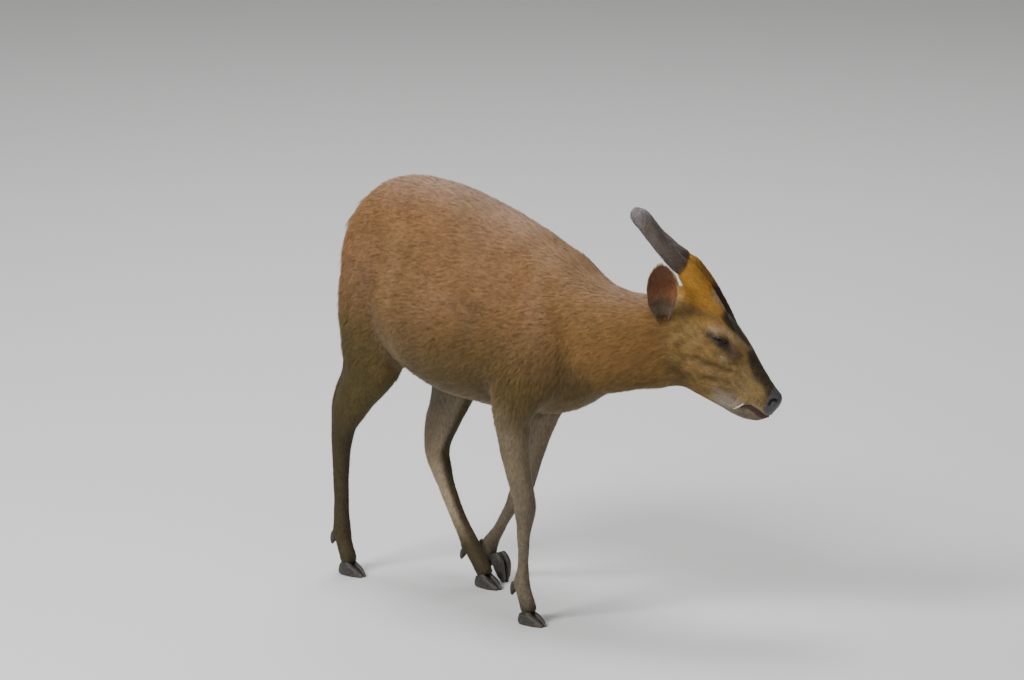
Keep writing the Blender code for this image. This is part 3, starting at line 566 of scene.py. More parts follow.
# Painted sheen on the top of the neck, where it faces up.
mark(MAUVE_BLOOM_AND_SHEEN, 0.30 * neck_share * step_up(skyward, 0.45, 0.95))
mark(THROAT_TAN, 0.80 * neck_share * step_up(-skyward, 0.10, 0.75))
buttock = step_up(-x, 0.235, 0.290) * step_down(z, 0.38, 0.46)
mark(TAIL_ORANGE, 0.32 * buttock * (1 - hind_share))

# Flank and shoulder: painted shade in dark lines behind the shoulder blade and the elbow and before
# the thigh, and a painted highlight on the paler stretch of flank between.
# Each line: colour, strength, breadth, and its points as places along x and z.
FLANK_LINES = (
    (ELBOW_SHADE, 0.30, 0.011, [(0.028, 0.262), (0.012, 0.300), (0.006, 0.345), (0.016, 0.385)]),
    (ELBOW_SHADE, 0.28, 0.009, [(-0.150, 0.300), (-0.156, 0.345), (-0.176, 0.390)]),
    (PAINTED_HIGHLIGHT_TAN, 0.22, 0.016, [(-0.118, 0.310), (-0.126, 0.380), (-0.150, 0.440)]),
)
flat_side = step_up(np.abs(normals[:, 1]), 0.25, 0.60) * (1 - head_share) * (1 - neck_share)
for new, strength, breadth, line in FLANK_LINES:
    mark(new, strength * flat_side * ridge(line_gap(np.column_stack((x, z)), line), breadth))

# Legs and tail: brown legs, darker towards the hooves, with pale hair inside the thighs and
# down the shins; the tail is orange above and white below.
LEG_BROWN = (0.215, 0.166, 0.102)
LEG_GREY = (0.178, 0.145, 0.100)
LEG_DARK = (0.062, 0.046, 0.022)
SHIN_PALE = (0.420, 0.325, 0.215)
MIDDLE_OF_FORELEGS = 0.002
MIDDLE_OF_HIND_LEGS = -0.025


def lower_leg(leg):
    """How far each point belongs to the cannons and pasterns of one pair of legs."""
    parts = [f"{leg}_{side}_{part}" for side in ("left", "right") for part in ("cannon", "pastern")]
    return share_of(10, *parts)


fore_lower = lower_leg("foreleg")
hind_lower = lower_leg("hindleg")
for side in SIDES:
    leg = (fore_share > 0.8) & (z > 0.20) & ((y - MIDDLE_OF_FORELEGS) * side > 0)
    from_leg = np.hypot(x - x[leg].mean(), y - y[leg].mean())
    elbow = step_down(z, 0.250, 0.300) * step_up(z, 0.15, 0.18) * ridge(from_leg, 0.034)
    mark(LEG_BROWN, 0.80 * elbow * (1 - fore_share))
mark(LEG_BROWN, 0.95 * fore_share)
mark(LEG_GREY, 0.75 * fore_share * step_down(z, 0.13, 0.20))
mark(LEG_DARK, 0.12 * fore_lower)
mark(OLIVE, 0.95 * hind_share)
mark(OLIVE, 0.75 * step_down(z, 0.300, 0.345) * step_up(-x, 0.170, 0.215) * (1 - tail_share))
mark(LEG_DARK, 0.92 * np.maximum(hind_lower, hind_share * step_down(z, 0.165, 0.235)))
inward = np.where(y > MIDDLE_OF_HIND_LEGS, -normals[:, 1], normals[:, 1])
inner = step_up(inward, 0.35, 0.85)
inner_thigh = inner * step_up(z, 0.145, 0.20) * step_down(z, 0.25, 0.30)
mark(INNER_WHITE, 0.30 * inner_thigh * np.maximum(hind_share, fore_share * 0.5))
mark(SHIN_PALE, 0.82 * inner * step_down(z, 0.16, 0.24) * step_up(z, 0.045, 0.090) * hind_share)
mark(LEG_DARK, 0.8 * step_down(z, 0.020, 0.040) * np.maximum(hind_share, fore_share))
mark(TAIL_ORANGE, tail_share * step_down(z, 0.440, 0.485))
mark(INNER_WHITE, 0.9 * tail_share * step_up(normals[:, 0], 0.1, 0.6))

# Head: tan cheeks, ginger crown and pedicles, a dark mask down the bridge of the nose, and two
# dark stripes up the brow that meet in front in a wedge, with a pale line beside each.
CHEEK_TAN = (0.315, 0.189, 0.058)
MUZZLE_TAN = (0.262, 0.178, 0.066)
CHEEK_OLIVE = (0.140, 0.092, 0.036)
FOLD_SHADE = (0.072, 0.042, 0.014)
GINGER = (0.425, 0.203, 0.025)
BLACK_BROWN = (0.040, 0.028, 0.019)
BROW_PALE = (0.420, 0.300, 0.160)
MASK_EDGE = (
    (0.0260, 0.0346, 0.0482, 0.0596, 0.0724, 0.0860),
    (0.0140, 0.0032, -0.0068, -0.0135, -0.0125, -0.0180),
)
PALE_LINE_MIDDLE = ((-0.040, -0.020), (0.0320, 0.0275))
WEDGE_EDGE = ((-0.0185, -0.0085, 0.0235), (0.0086, 0.0062, 0.0066))
BROW_TOP = ((-0.020, 0.000, 0.015, 0.035), (0.0160, 0.0150, 0.0118, 0.0070))
BROW_SHADE_LINE = [(-0.0600, -0.0060), (-0.0400, 0.0040), (-0.0240, 0.0110)]
BROW_BAND = [
    (-0.0210, -0.0094), (-0.0080, -0.0020), (0.0042, 0.0012), (0.0200, 0.0042), (0.0310, 0.0062)
]
PAINTED_HIGHLIGHT_SPOT = [(0.0150, -0.0182), (0.0205, -0.0186)]
seen = head_places(points)
side_view = seen[:, :2]
forward, above, aside = seen.T
away = np.abs(aside)
face_side = step_up(away, 0.010, 0.016)
toward_up = normals @ np.array(UP)
toward_middle = -(normals @ np.array(LEFT)) * np.sign(aside)


def face_mark(new, share):
    """Lay one more colour over the head where its share says."""
    mark(new, head_share * share)


def face_line(new, strength, line, breadth):
    """Lay one more colour along a bent line on the side of the head."""
    face_mark(new, strength * ridge(line_gap(side_view, line), breadth))


face_mark(CHEEK_TAN, 1.0)
face_mark(GINGER, 0.95 * step_up(-forward, -0.004, 0.030) * step_up(above, -0.016, 0.014))
face_mark(MUZZLE_TAN, 0.90 * step_up(forward, 0.020, 0.050))
face_mark(THROAT_TAN, 0.8 * step_up(-above, 0.045, 0.075) * step_down(forward, 0.0, 0.05))
over_mask = above - np.interp(forward, *MASK_EDGE)
face_mark(BLACK_BROWN, 0.90 * step_up(forward, 0.024, 0.036) * step_up(over_mask, -0.0042, 0.0030))
face_mark(BLACK_BROWN, 0.80 * step_up(forward, 0.078, 0.092) * step_up(above, -0.035, -0.020))
stripe_middle = 0.0165 + 0.10 * np.maximum(-forward, 0.0)
stripe_fade = 0.30 * step_up(forward, -0.095, -0.070) + 0.70 * step_up(forward, -0.058, -0.040)
stripe = stripe_fade * ridge(away - stripe_middle, 0.0060) * step_down(forward, 0.016, 0.036)
stripe *= step_up(toward_up, -0.2, 0.3) * step_up(above, 0.004, 0.013)
face_mark(BLACK_BROWN, 0.90 * stripe)
pale_line = ridge(away - np.interp(forward, *PALE_LINE_MIDDLE), 0.0036) * step_up(-forward, 0.010, 0.018)
pale_line *= step_up(toward_up, 0.1, 0.5) * step_up(above, 0.010, 0.018) * step_up(forward, -0.054, -0.042)
face_mark(BROW_PALE, 0.90 * pale_line)
brow_level = above - 0.17 * away
wedge = step_up(brow_level - np.interp(forward, *WEDGE_EDGE), 0.0, 0.0026)
wedge *= step_up(forward, -0.025, -0.017) * step_down(forward, 0.024, 0.032)
wedge *= np.maximum(step_up(away, 0.003, 0.008), step_up(forward, -0.014, -0.002))
front_top = step_up(above - np.interp(forward, *BROW_TOP), -0.0010, 0.0012)
front_top *= step_up(forward, -0.012, -0.002) * step_down(forward, 0.028, 0.034)
inner_face = step_up(toward_middle, 0.02, 0.30) * step_up(above, 0.003, 0.007)
inner_face *= stripe_fade * step_down(forward, 0.020, 0.028) * step_up(away, 0.0125, 0.0160)
face_mark(CHEEK_OLIVE, 0.65 * face_side * ridge(line_gap(side_view, BROW_SHADE_LINE), 0.0075))
cheeks = step_down(above, -0.012, 0.004) * step_down(forward, 0.056, 0.074)
ruffled = soft_patches(points, 0.013, 21) + 0.7 * soft_patches(points, 0.026, 22)
# Painted shade and painted highlight: olive and paler tan patches at random over the cheeks, for their
# furrows.
face_mark(CHEEK_OLIVE, 0.55 * cheeks * step_up(ruffled, -0.3, 1.1))
face_mark(PAINTED_HIGHLIGHT_TAN, 0.30 * cheeks * step_up(-ruffled, 0.0, 1.2))
patchy = 0.60 + 0.35 * soft_patches(points, 0.018, 25)
wavering = 0.0012 * soft_patches(points, 0.009, 26)
for strength, fold in CHEEK_FOLDS:
    face_mark(FOLD_SHADE, patchy * strength * ridge(line_gap(side_view, fold) + wavering, 0.0040))
# Painted highlight: a paler tan laid along each swelling.
for strength, breadth, swelling in HIGHLIT_SWELLINGS:
    face_line(PAINTED_HIGHLIGHT_TAN, 0.75 * strength, swelling, breadth)
on_brow = np.column_stack((forward, brow_level))
face_mark(BROW_PALE, 0.72 * ridge(line_gap(on_brow, BROW_BAND), 0.0040))
face_mark(BLACK_BROWN, 0.90 * np.maximum(np.maximum(wedge, front_top), inner_face))
# Painted highlight on the small swelling below the tear-gland pocket.
face_line(BROW_PALE, 0.70, PAINTED_HIGHLIGHT_SPOT, 0.0026)

# Mouth and nose: a whitish chin and throat line, mauve corners, bare maroon lips held a
# little open, and a damp black nose whose nostrils are dark slits.
LIP_GREY = (0.400, 0.370, 0.300)
LIP_MAROON = (0.060, 0.026, 0.021)
LIP_MAUVE = (0.150, 0.105, 0.085)
LIP_BROWN = (0.190, 0.155, 0.120)
LIP_PINK = (0.300, 0.215, 0.165)
NOSE_BLACK = (0.064, 0.060, 0.062)
NOSTRIL_BLACK = (0.010, 0.009, 0.009)
CHIN_LINE = [(0.0370, -0.0640), (0.0580, -0.0570), (0.0640, -0.0540)]
LIP_BAND = [(0.0345, -0.0530), (0.0600, -0.0540)]
MOUTH_CORNER = [(0.0500, -0.0450), (0.0600, -0.0470)]
MOUTH_LEVEL = (
    (0.0600, 0.0700, 0.0791, 0.0896, 0.1010, 0.1060),
    (-0.0600, -0.0490, -0.0405, -0.0390, -0.0385, -0.0350),
)
over_mouth = above - np.interp(forward, *MOUTH_LEVEL)
lips = line_gap(side_view, MOUTH_LINE)
chin_hair = ridge(line_gap(side_view, CHIN_LINE), 0.0085) * step_up(forward, 0.030, 0.052)
face_mark(LIP_GREY, 0.72 * chin_hair)
face_line(LIP_PINK, 0.65, LIP_BAND, 0.0046)
face_line(LIP_MAUVE, 0.60, MOUTH_CORNER, 0.0040)
chin = step_up(-over_mouth, 0.0, 0.0022) * step_up(forward, 0.052, 0.066) * step_up(forward, 0.056, 0.074)
face_mark(LIP_BROWN, 0.80 * chin)
upper_lip = step_up(forward, 0.070, 0.080) * step_down(forward, 0.096, 0.103)
face_mark(LIP_GREY, 0.35 * upper_lip * ridge(over_mouth - 0.0030, 0.0026))
parted = step_up(over_mouth, -0.0062, -0.0038) * step_up(-over_mouth, -0.0016, -0.0004)
face_mark(LIP_MAROON, 0.85 * parted * step_up(forward, 0.070, 0.078))
face_mark(LIP_MAROON, 0.92 * ridge(lips, 0.0022))
nose = step_up(forward + 0.32 * (above + 0.018), 0.0865, 0.0900) * step_up(over_mouth, 0.0018, 0.0040)
face_mark(NOSE_BLACK, nose)
face_mark(NOSTRIL_BLACK, 0.85 * ridge(nostril_gap(side_view, away), 0.0016))

# Round the eyes: bare dark lid rims in a dark patch that runs back from the eye, and the
# tear-gland pocket before it, mauve and nearly bare.
GLAND_MAUVE = (0.080, 0.052, 0.041)
EYE_SHADE = (0.036, 0.024, 0.019)
RIM_BLACK = (0.010, 0.008, 0.008)
gland_band = line_gap(side_view, [(0.0020, -0.0060), (0.0225, -0.0065)])
eye_band = line_gap(side_view, [(-0.0190, -0.0095), (-0.0080, -0.0066), (0.0060, -0.0045)])
pocket = gland_place(side_view)
face_mark(GLAND_MAUVE, 0.92 * ridge(gland_band, 0.0068) * face_side)
face_mark(EYE_SHADE, 0.70 * ridge(pocket, 0.50) * face_side)
face_mark(EYE_SHADE, 0.85 * ridge(eye_band, 0.0044) * face_side)
eye_dark = np.zeros(len(points))
rim_bare = np.zeros(len(points))
for side, spot in zip(SIDES, eye_spots):
    along, over, outwards = ((points - spot) @ eye_axes(side).T).T
    gap = slit_gap(along, over)
    facing = (outwards > 0.002) & (np.hypot(along, over) < 0.022)
    eye_dark = np.maximum(eye_dark, facing * np.exp(-((np.maximum(gap, 0) / 0.0048) ** 1.5)))
    rim_bare = np.maximum(rim_bare, facing * step_up(-gap, -0.0016, -0.0009))
mark(EYE_SHADE, 0.90 * eye_dark)
mark(RIM_BLACK, rim_bare)

# Ears, in colour: red-brown and nearly bare inside, fading to grey at the root, with a pale
# rim and a tuft of pale hair low in the opening; furred in tan and ginger outside.
EAR_RED = (0.245, 0.078, 0.024)
EAR_GREY = (0.150, 0.088, 0.050)
EAR_RIM = (0.500, 0.420, 0.310)
EAR_TUFT = (0.240, 0.190, 0.135)
ear_rim = np.zeros(len(points))
ear_tuft = np.zeros(len(points))
for side in SIDES:
    mine = (ear_side == side).astype(float)
    root, tip = ear_ends(side)
    run = tip - root
    height = np.clip((points - root) @ run / (run @ run), 0.0, 1.0)
    inside, opening = inside_of_ear(side)
    mark(CHEEK_TAN, mine)
    mark(GINGER, 0.35 * mine)
    mark(EAR_RED, inside)
    mark(EAR_GREY, 0.90 * inside * step_down(height, 0.30, 0.62))
    shaded = inside * step_up((points - root) @ -np.array(FORWARD), 0.004, 0.020) * step_up(height, 0.3, 0.7)
    mark(BLACK_BROWN, 0.55 * shaded)
    edge = mine * step_up(-np.abs(normals @ opening), -0.62, -0.25) * step_up(height, 0.12, 0.35)
    edge = np.clip(1.5 * evened(edge, ends, 2, 0.5), 0.0, 1.0)
    mark(EAR_RIM, 0.90 * edge)
    ear_rim = np.maximum(ear_rim, edge)
    low_tuft = inside * ridge(height - 0.10, 0.11)
    mark(EAR_TUFT, 0.65 * low_tuft)
    ear_tuft = np.maximum(ear_tuft, low_tuft)
damp = np.clip(head_share * (nose + 0.7 * ridge(lips, 0.0014)) + rim_bare, 0.0, 1.0)
bare_face = nose + ridge(lips, 0.0022) + step_up(-pocket, -0.75, -0.45) * face_side
bare = np.clip(head_share * bare_face + rim_bare, 0.0, 1.0)
colour = np.clip(colour, 0.001, 1.0)


def note_on(mesh, name, kind, values):
    """Keep values at the mesh's points under a name."""
    note = mesh.attributes.new(name, kind, "POINT")
    slot = {"FLOAT": "value", "FLOAT_VECTOR": "vector", "FLOAT_COLOR": "color"}[kind]
    if kind == "FLOAT_COLOR":
        values = np.column_stack((values, np.ones(len(values))))
    note.data.foreach_set(slot, np.asarray(values, np.float32).ravel())


note_on(skin.data, "marking", "FLOAT_COLOR", colour)
note_on(skin.data, "damp", "FLOAT", damp)

# Finish of the hide: short hair on skin, mottled and broken by its own fine relief. Where it is
# damp, on nose, lips and lid rims, it is pebbled and shines instead.
MOTTLES_PER_METRE = 60.0
STREAKS_PER_METRE = 700.0
MOTTLE_SHARE = 0.55
PEBBLES_PER_METRE = 900.0


def feed(tree, node, feeds):
    """Give the node's sockets plain values, or links where a value is another node's socket."""
    for socket, value in dict(feeds).items():
        if isinstance(value, bpy.types.NodeSocket):
            tree.links.new(value, node.inputs[socket])
        else:
            node.inputs[socket].default_value = value


def tree_node(tree, kind, feeds=(), **settings):
    """A new node with its settings, and its sockets fed."""
    made = tree.nodes.new(kind)
    for name, value in settings.items():
        setattr(made, name, value)
    feed(tree, made, feeds)
    return made


def sums(tree, operation, *values):
    """One step of arithmetic."""
    return tree_node(tree, "ShaderNodeMath", enumerate(values), operation=operation).outputs[0]


def scaled(tree, vector, amount):
    """A colour or a vector times an amount."""
    feeds = {0: vector, "Scale": amount}
    return tree_node(tree, "ShaderNodeVectorMath", feeds, operation="SCALE").outputs[0]


def noted(tree, name, output):
    """A value that the mesh carries under a name, for a material."""
    return tree_node(tree, "ShaderNodeAttribute", attribute_name=name).outputs[output]


def fine_hair_group():
    """Mottling and relief of very short hair."""
    tree = bpy.data.node_groups.new("short hair relief", "ShaderNodeTree")
    tree.interface.new_socket("Size", in_out="INPUT", socket_type="NodeSocketFloat").default_value = 1.0
    for name in ("Mottle", "Relief"):
        tree.interface.new_socket(name, in_out="OUTPUT", socket_type="NodeSocketFloat")
    size = tree_node(tree, "NodeGroupInput").outputs["Size"]
    where = scaled(tree, tree_node(tree, "ShaderNodeTexCoord").outputs["Object"], size)
    feeds = {"Vector": where, "Scale": MOTTLES_PER_METRE, "Detail": 5.0}
    broad = tree_node(tree, "ShaderNodeTexNoise", feeds).outputs["Fac"]
    feeds = {"Vector": where, "Scale": STREAKS_PER_METRE, "Detail": 4.0, "Distortion": 1.5}
    fine = tree_node(tree, "ShaderNodeTexNoise", feeds).outputs["Fac"]
    fine_part = sums(tree, "MULTIPLY", fine, 1 - MOTTLE_SHARE)
    both = sums(tree, "MULTIPLY_ADD", broad, MOTTLE_SHARE, fine_part)
    tree_node(tree, "NodeGroupOutput", {"Mottle": both, "Relief": fine})
    return tree


def marked_colour_group():
    """The marking that the mesh carries, made darker and lighter by a fleck."""
    tree = bpy.data.node_groups.new("marked colour", "ShaderNodeTree")
    for name in ("Fleck", "Low", "High", "Darkest", "Lightest"):
        tree.interface.new_socket(name, in_out="INPUT", socket_type="NodeSocketFloat")
    tree.interface.new_socket("Colour", in_out="OUTPUT", socket_type="NodeSocketColor")
    entry = tree_node(tree, "NodeGroupInput").outputs
    feeds = {
        "Value": entry["Fleck"],
        "From Min": entry["Low"],
        "From Max": entry["High"],
        "To Min": entry["Darkest"],
        "To Max": entry["Lightest"],
    }
    amount = tree_node(tree, "ShaderNodeMapRange", feeds).outputs["Result"]
    tree_node(tree, "NodeGroupOutput", {"Colour": scaled(tree, noted(tree, "marking", "Color"), amount)})
    return tree


short_hair = fine_hair_group()
marked_colour = marked_colour_group()


def principled(name, values):
    """A new material, its tree, and its shader with plain values on the shader's own sockets."""
    finish = bpy.data.materials.new(name)
    finish.use_nodes = True
    shader = finish.node_tree.nodes["Principled BSDF"]
    feed(finish.node_tree, shader, values)
    return finish, finish.node_tree, shader


def hair_look(tree, size):
    """Mottle and relief of short hair of one size."""
    return tree_node(tree, "ShaderNodeGroup", node_tree=short_hair, feeds={"Size": size}).outputs


def flecked(tree, fleck, low, high, darkest, lightest):
    """The marking, darkest where the fleck is low and lightest where it is high."""
    feeds = {"Fleck": fleck, "Low": low, "High": high, "Darkest": darkest, "Lightest": lightest}
    return tree_node(tree, "ShaderNodeGroup", feeds, node_tree=marked_colour).outputs["Colour"]


def ranged(tree, value, first, last):
    """A value between 0 and 1, spread out between two others."""
    feeds = {"Value": value, "To Min": first, "To Max": last}
    return tree_node(tree, "ShaderNodeMapRange", feeds).outputs["Result"]


def relief(tree, height, strength, distance):
    """Bumps from a height."""
    feeds = {"Height": height, "Strength": strength, "Distance": distance}
    return tree_node(tree, "ShaderNodeBump", feeds).outputs["Normal"]


def wear(thing, finish):
    """Give the whole object one material."""
    thing.data.materials.clear()
    thing.data.materials.append(finish)


hide_finish, tree, shader = principled("short haired hide", {"Specular IOR Level": 0.35})
hair = hair_look(tree, 1.0)
wet = noted(tree, "damp", "Fac")
where = tree_node(tree, "ShaderNodeTexCoord").outputs["Object"]
pebbles = tree_node(tree, "ShaderNodeTexVoronoi", {"Vector": where, "Scale": PEBBLES_PER_METRE})
feeds = {0: wet, 2: hair["Relief"], 3: pebbles.outputs["Distance"]}
height = tree_node(tree, "ShaderNodeMix", feeds, data_type="FLOAT").outputs[0]
feeds = {
    "Base Color": flecked(tree, hair["Mottle"], 0.35, 0.65, 0.80, 1.16),
    "Roughness": ranged(tree, wet, 0.78, 0.30),
    "Normal": relief(tree, height, 0.55, 0.0006),
}
feed(tree, shader, feeds)
wear(skin, hide_finish)
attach(skin, "root")
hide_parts(*flesh, "ear_left", "ear_right")

# Lie of the coat: which way the hair points at each place, how long it is and how thickly it
# stands. It runs back from the nose over the neck and trunk, then down the flanks and legs.
LONGEST = {
    "trunk": 0.0135,
    "neck": 0.0120,
    "head": 0.0062,
    "foreleg": 0.0075,
    "hindleg": 0.0078,
    "tail": 0.0200,
}
LONGEST_ON_EAR = 0.0042
trunk_share = np.clip(1 - head_share - neck_share - tail_share - fore_share - hind_share, 0.0, 1.0)
shares = {
    "trunk": trunk_share,
    "neck": neck_share,
    "head": head_share,
    "foreleg": fore_share,
    "hindleg": hind_share,
    "tail": tail_share,
}
low_flank = step_down(z, 0.30, 0.42) * (1 - step_up(-skyward, 0.3, 0.8))
chest = step_up(x, 0.03, 0.12) * step_down(z, 0.30, 0.38)
back_of_thigh = step_up(-x, 0.20, 0.29) * step_down(z, 0.40, 0.50)
LIE = (
    (trunk_share, (-1.0, 0.0, -0.16)),
    (trunk_share * low_flank, (0.0, 0.0, -0.38)),
    (trunk_share * back_of_thigh, (0.45, 0.0, -0.85)),
    (trunk_share * chest, (0.6, 0.0, -1.0)),
    (neck_share, (-0.78, -0.30, -0.34)),
    (head_share, -np.array(FORWARD)),
    (head_share * step_up(-above, 0.01, 0.05), -0.35 * np.array(UP)),
    (fore_share, (-0.12, 0.0, -1.0)),
    (hind_share, (-0.05, 0.0, -1.0)),
    (tail_share, (-0.05, 0.0, -1.0)),
)
lie = sum(share[:, None] * np.array(way) for share, way in LIE)
lie = lie + soft_patches(points, 0.045, 11)[:, None] * np.cross(normals, lie) * 0.20
hair_length = sum(LONGEST[part] * share for part, share in shares.items())
ear_length = LONGEST_ON_EAR * (1 + 0.6 * ear_rim + 1.9 * ear_tuft)
hair_length = np.where(ear_side != 0, ear_length, hair_length)
hair_length *= 1 - 0.50 * head_share * step_up(forward, 0.005, 0.070)
hair_length *= 1 - 0.50 * head_share * np.maximum(ridge(eye_band, 0.012), ridge(gland_band, 0.009))
hair_length *= 1 + 0.35 * head_share * step_up(-forward, 0.080, 0.098)
inside_ear = np.zeros(len(points))
for side in SIDES:
    root, tip = ear_ends(side)
    lie[ear_side == side] = tip - root
    from_root = np.linalg.norm(points - root, axis=1)
    hair_length *= 1 + 0.9 * (ear_side == 0) * ridge(from_root, 0.014)
    inside_ear = np.maximum(inside_ear, inside_of_ear(side)[0])
hair_length *= 1 - 0.40 * np.maximum(fore_lower, hind_lower)
lie = lie - normals * np.sum(lie * normals, axis=1)[:, None]
lie = unit(evened(unit(lie), ends, 6, 0.5))
cover = (1 - bare) * (1 - 0.8 * eye_dark * (eye_dark > 0.75))
cover *= 1 - 0.80 * inside_ear * (1 - ear_tuft)
note_on(skin.data, "lie", "FLOAT_VECTOR", lie)
note_on(skin.data, "hair_length", "FLOAT", hair_length)
note_on(skin.data, "cover", "FLOAT", cover)

# Stretches of coat: each is one piece, with its own unwrap of the skin that it grows from.
# Stretch: its points, tufts per square metre, hair width, lift, and spread in degrees.
MIDLINE = -0.012
RUMP_END = -0.150
SHOULDER_START = 0.0
right = y < MIDLINE
on_trunk = (trunk_share >= 0.5) & (ear_side == 0)
rump = on_trunk & (x < RUMP_END)
shoulders = on_trunk & (x >= SHOULDER_START)
barrel = on_trunk & ~rump & ~shoulders
skull = (head_share > 0.5) & (ear_side == 0)
TRUNK_HAIR = (215000, 0.00062)
HEAD_HAIR = (620000, 0.00034, 0.15, 10)
STRETCHES = {
    "coat_rump_right": (rump & right, *TRUNK_HAIR, 0.23, 9),
    "coat_rump_left": (rump & ~right, *TRUNK_HAIR, 0.23, 9),
    "coat_barrel_right": (barrel & right, *TRUNK_HAIR, 0.22, 9),
    "coat_barrel_left": (barrel & ~right, *TRUNK_HAIR, 0.22, 9),
    "coat_shoulders": (shoulders, *TRUNK_HAIR, 0.21, 9),
    "coat_neck": (neck_share > 0.5, 290000, 0.00055, 0.20, 10),
    "coat_head_right": (skull & (aside < 0), *HEAD_HAIR),
    "coat_head_left": (skull & (aside >= 0), *HEAD_HAIR),
    "coat_forelegs": (fore_share > 0.5, 330000, 0.00042, 0.12, 8),
    "coat_hindlegs": (hind_share > 0.5, 330000, 0.00045, 0.12, 8),
    "coat_tail": (tail_share > 0.5, 330000, 0.00060, 0.16, 9),
    "coat_ears": (ear_side != 0, 800000, 0.00030, 0.16, 12),
}
FLATTEST_BEND = math.radians(70)
ISLAND_MARGIN = 0.004
REST_GROWS_WITH = "coat_barrel_right"
stretch_of = np.full(len(points), -1)
for number, (where, *_) in enumerate(STRETCHES.values()):
    stretch_of[where & (stretch_of < 0)] = number
stretch_of[stretch_of < 0] = list(STRETCHES).index(REST_GROWS_WITH)


def unwrap(thing, layer, chosen=None):
    """Unwrap the chosen faces over the whole square of a named map, by the skin's own shape."""
    mesh = thing.data
    if layer not in mesh.uv_layers:
        mesh.uv_layers.new(name=layer)
    mesh.uv_layers.active = mesh.uv_layers[layer]
    if chosen is None:
        chosen = np.ones(len(mesh.polygons), bool)
    mesh.polygons.foreach_set("select", chosen)
    bpy.ops.object.select_all(action="DESELECT")
    thing.select_set(True)
    bpy.context.view_layer.objects.active = thing
    bpy.ops.object.mode_set(mode="EDIT")
    bpy.ops.mesh.select_mode(type="FACE")
    bpy.ops.uv.smart_project(angle_limit=FLATTEST_BEND, island_margin=ISLAND_MARGIN)
    bpy.ops.object.mode_set(mode="OBJECT")


first_corners = np.empty(len(skin.data.polygons), np.int32)
skin.data.polygons.foreach_get("loop_start", first_corners)
corner_points = np.empty(len(skin.data.loops), np.int32)
skin.data.loops.foreach_get("vertex_index", corner_points)
face_stretch = stretch_of[corner_points[first_corners]]
stretch_note = skin.data.attributes.new("stretch", "INT", "FACE")
stretch_note.data.foreach_set("value", face_stretch.astype(np.int32))
for number in range(len(STRETCHES)):
    unwrap(skin, "root_map", face_stretch == number)
unwrap(skin, "OFBake")

# One tuft: three flat hairs from one root, fanned out, each bowed over to lie along the skin.
# Its length is 1 along +Y and one hair's width is 1 along X; the patch is its place on the map.
# Hair: how far across its root and its tip are, and its length. Step: place along it, half width.
HAIRS = ((-0.9, -1.9, 0.92), (0.0, 0.2, 1.0), (0.9, 2.2, 0.86))
HAIR_STEPS = ((0.0, 0.42), (0.5, 0.40), (1.0, 0.0))
HAIR_RISE = 1.55
HAIR_BOW = 0.52
PATCH_BREADTH = 6.0
PATCH = 0.003
tuft_points = []
tuft_faces = []
tuft_along = []
tuft_patch = []
for root_across, tip_across, reach in HAIRS:
    first = len(tuft_points)
    for along, half in HAIR_STEPS:
        middle = root_across + (tip_across - root_across) * along
        for edge in ((-1, 1) if half else (0,)):
            across = middle + edge * half
            tuft_points.append((across, along * reach, HAIR_RISE * along * (1 - HAIR_BOW * along)))
            tuft_along.append(along)
            tuft_patch.append((across / PATCH_BREADTH, along * reach - 0.5, 0.0))
    tuft_faces += [(first, first + 1, first + 3, first + 2), (first + 2, first + 3, first + 4)]
tuft_mesh = bpy.data.meshes.new("tuft")
tuft_mesh.from_pydata(tuft_points, [], tuft_faces)
tuft_mesh.shade_smooth()
note_on(tuft_mesh, "along", "FLOAT", tuft_along)
note_on(tuft_mesh, "patch", "FLOAT_VECTOR", tuft_patch)
tuft = link("tuft", tuft_mesh)

# Laying the coat: tufts stand at random on the skin, closer where the coat is thick, tipped over
# along its lie and shaded mostly as the skin beneath them, so that they read as one coat.
SKIN_SHARE_OF_SHADING = 0.72


def growing_tree(name, inputs):
    """A new tree of geometry nodes with named inputs, and what comes in by them."""
    tree = bpy.data.node_groups.new(name, "GeometryNodeTree")
    for socket, kind in {"Geometry": "Geometry", **inputs}.items():
        tree.interface.new_socket(socket, in_out="INPUT", socket_type="NodeSocket" + kind)
    tree.interface.new_socket("Geometry", in_out="OUTPUT", socket_type="NodeSocketGeometry")
    return tree, tree_node(tree, "NodeGroupInput").outputs


def carried(tree, name, kind):
    """A value that the mesh carries under a name, for a tree of geometry nodes."""
    feeds = {"Name": name}
    return tree_node(tree, "GeometryNodeInputNamedAttribute", feeds, data_type=kind).outputs["Attribute"]


def kept(tree, geometry, name, kind, domain, value):
    """The geometry, with a value kept on it under a name."""
    feeds = {"Geometry": geometry, "Name": name, "Value": value}
    stored = tree_node(tree, "GeometryNodeStoreNamedAttribute", feeds, data_type=kind, domain=domain)
    return stored.outputs["Geometry"]


def stood_on(tree, roots, shape, rotation, scale):
    """Copies of an object on the points, turned and sized, as plain mesh."""
    source = tree_node(tree, "GeometryNodeObjectInfo", {"Object": shape})
    feeds = {"Points": roots, "Instance": source.outputs["Geometry"], "Rotation": rotation, "Scale": scale}
    copies = tree_node(tree, "GeometryNodeInstanceOnPoints", feeds)
    return tree_node(tree, "GeometryNodeRealizeInstances", {0: copies.outputs[0]}).outputs[0]


def finished(tree, geometry, finish):
    """Give the geometry its material and let it out of the tree."""
    dressed = tree_node(tree, "GeometryNodeSetMaterial", {"Geometry": geometry, "Material": finish})
    tree_node(tree, "NodeGroupOutput", {0: dressed.outputs[0]})


